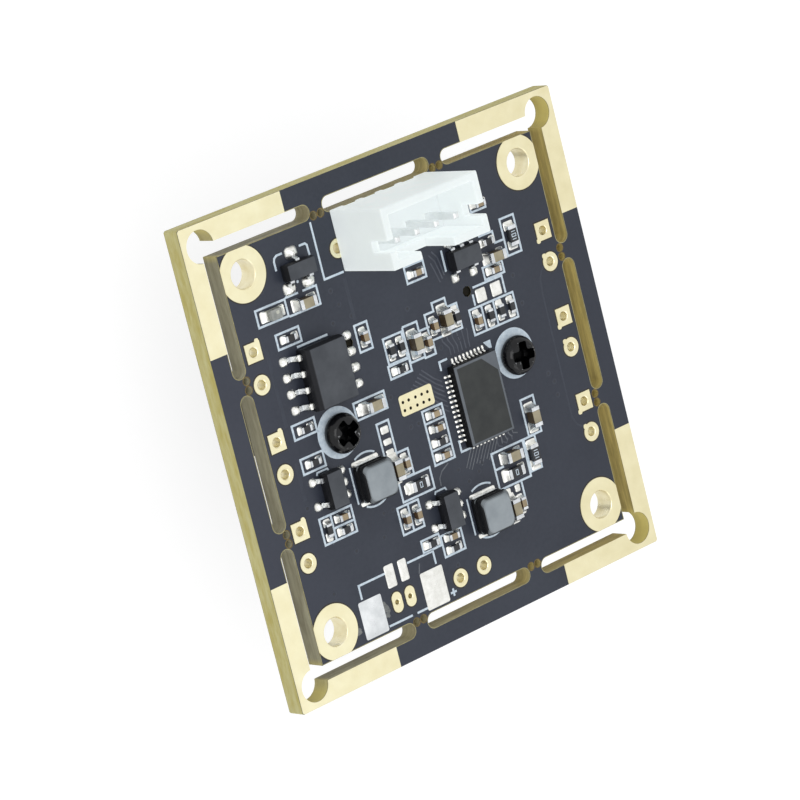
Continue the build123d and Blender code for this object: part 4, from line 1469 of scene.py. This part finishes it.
can_low, can_high = islands("crystal")[0]
can_x, can_y = (can_low[0] + can_high[0]) / 2, (can_low[1] + can_high[1]) / 2
can_wide, can_tall = can_high[0] - can_low[0], can_high[1] - can_low[1]
can, base = new_shape(), new_shape()
sizes = [
    (0.24, 0, 0.3), (0.28, 0.22, 0.4), (0.36, 0.3, 0.4), (0.66, 0.3, 0.4), (0.75, 0.36, 0.36),
    (0.79, 0.52, 0.3),
]
skin(
    can,
    [raised(rounded_rectangle(can_x, can_y, can_wide - cut, can_tall - cut, corner), front_z - low)
     for low, cut, corner in sizes],
)
can_piece = piece_from("crystal_lid", can, can_metal)
slab(base, rounded_rectangle(can_x, can_y, can_wide, can_tall, 0.2), front_z - 0.24, front_z)
piece_from("crystal_base", base, sensor_look)
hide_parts("crystal")


# Print and traces on the front

front_print, front_traces = new_shape(), new_shape()
front_parts = [box for box in islands("small_capacitors") if box[1][2] < front_z + 0.01]
for low, high in front_parts + [(can_low, can_high)]:
    across = high[0] - low[0] >= high[1] - low[1]
    more_x, more_y = (0.55, 0.22) if across else (0.22, 0.55)
    line = box_line(low[0] - more_x, high[0] + more_x, high[1] + more_y, low[1] - more_y, 0)
    stroke(front_print, line, 0.15, front_z, -print_thick, True)
holder_half = 7.65
for side_x, side_y in quarters:
    line = [
        (side_x * x, side_y * y)
        for x, y in ((holder_half, 5.6), (holder_half, holder_half), (5.6, holder_half))
    ]
    stroke(front_print, line, 0.15, front_z, -print_thick)
piece_from("front_print", front_print, ink, smooth=False)
for i, x in enumerate(header_pins_x):
    line = [(x, pin_row_y - 0.7), (x, 11.0 - 0.3 * i), (x * 0.8, 10.2 - 0.3 * i), (x * 0.8, 7.5)]
    stroke(front_traces, line, 0.16, front_z, -trace_thick)
for i in range(4):
    offset = 0.4 * i
    line = [
        (-12.6 + offset, -12.4), (-12.6 + offset, -8.0), (-10.4 + offset, -5.6), (-10.4 + offset, -3.0),
        (-9.0 + offset * 0.2, -2.4 + offset),
    ]
    stroke(front_traces, line, 0.14, front_z, -trace_thick)
for x, y in ((5.0, -11.6), (7.0, -11.6)):
    stroke(front_traces, [(x, -10.2), (x, -8.6), (x - 0.6, -7.5)], 0.14, front_z, -trace_thick)
for x, y in ((10.5, 6.0), (11.4, 3.0), (-11.2, 8.6), (11.9, -6.4), (9.6, -9.4), (-9.2, 11.2), (2.4, -10.4)):
    via_ring(front_traces, x, y, front_z, -1)
piece_from("front_traces", front_traces, trace_look, smooth=False)


# The controller's darker top panel

panel = new_shape()
panel_outline = [(2.7, -5.04), (6.66, -5.04), (6.66, -0.3), (5.3, 1.02), (2.7, 1.02)]
slab(panel, panel_outline, back_z + 0.745, back_z + 0.756)
piece_from("controller_panel", panel, controller_face, smooth=False)
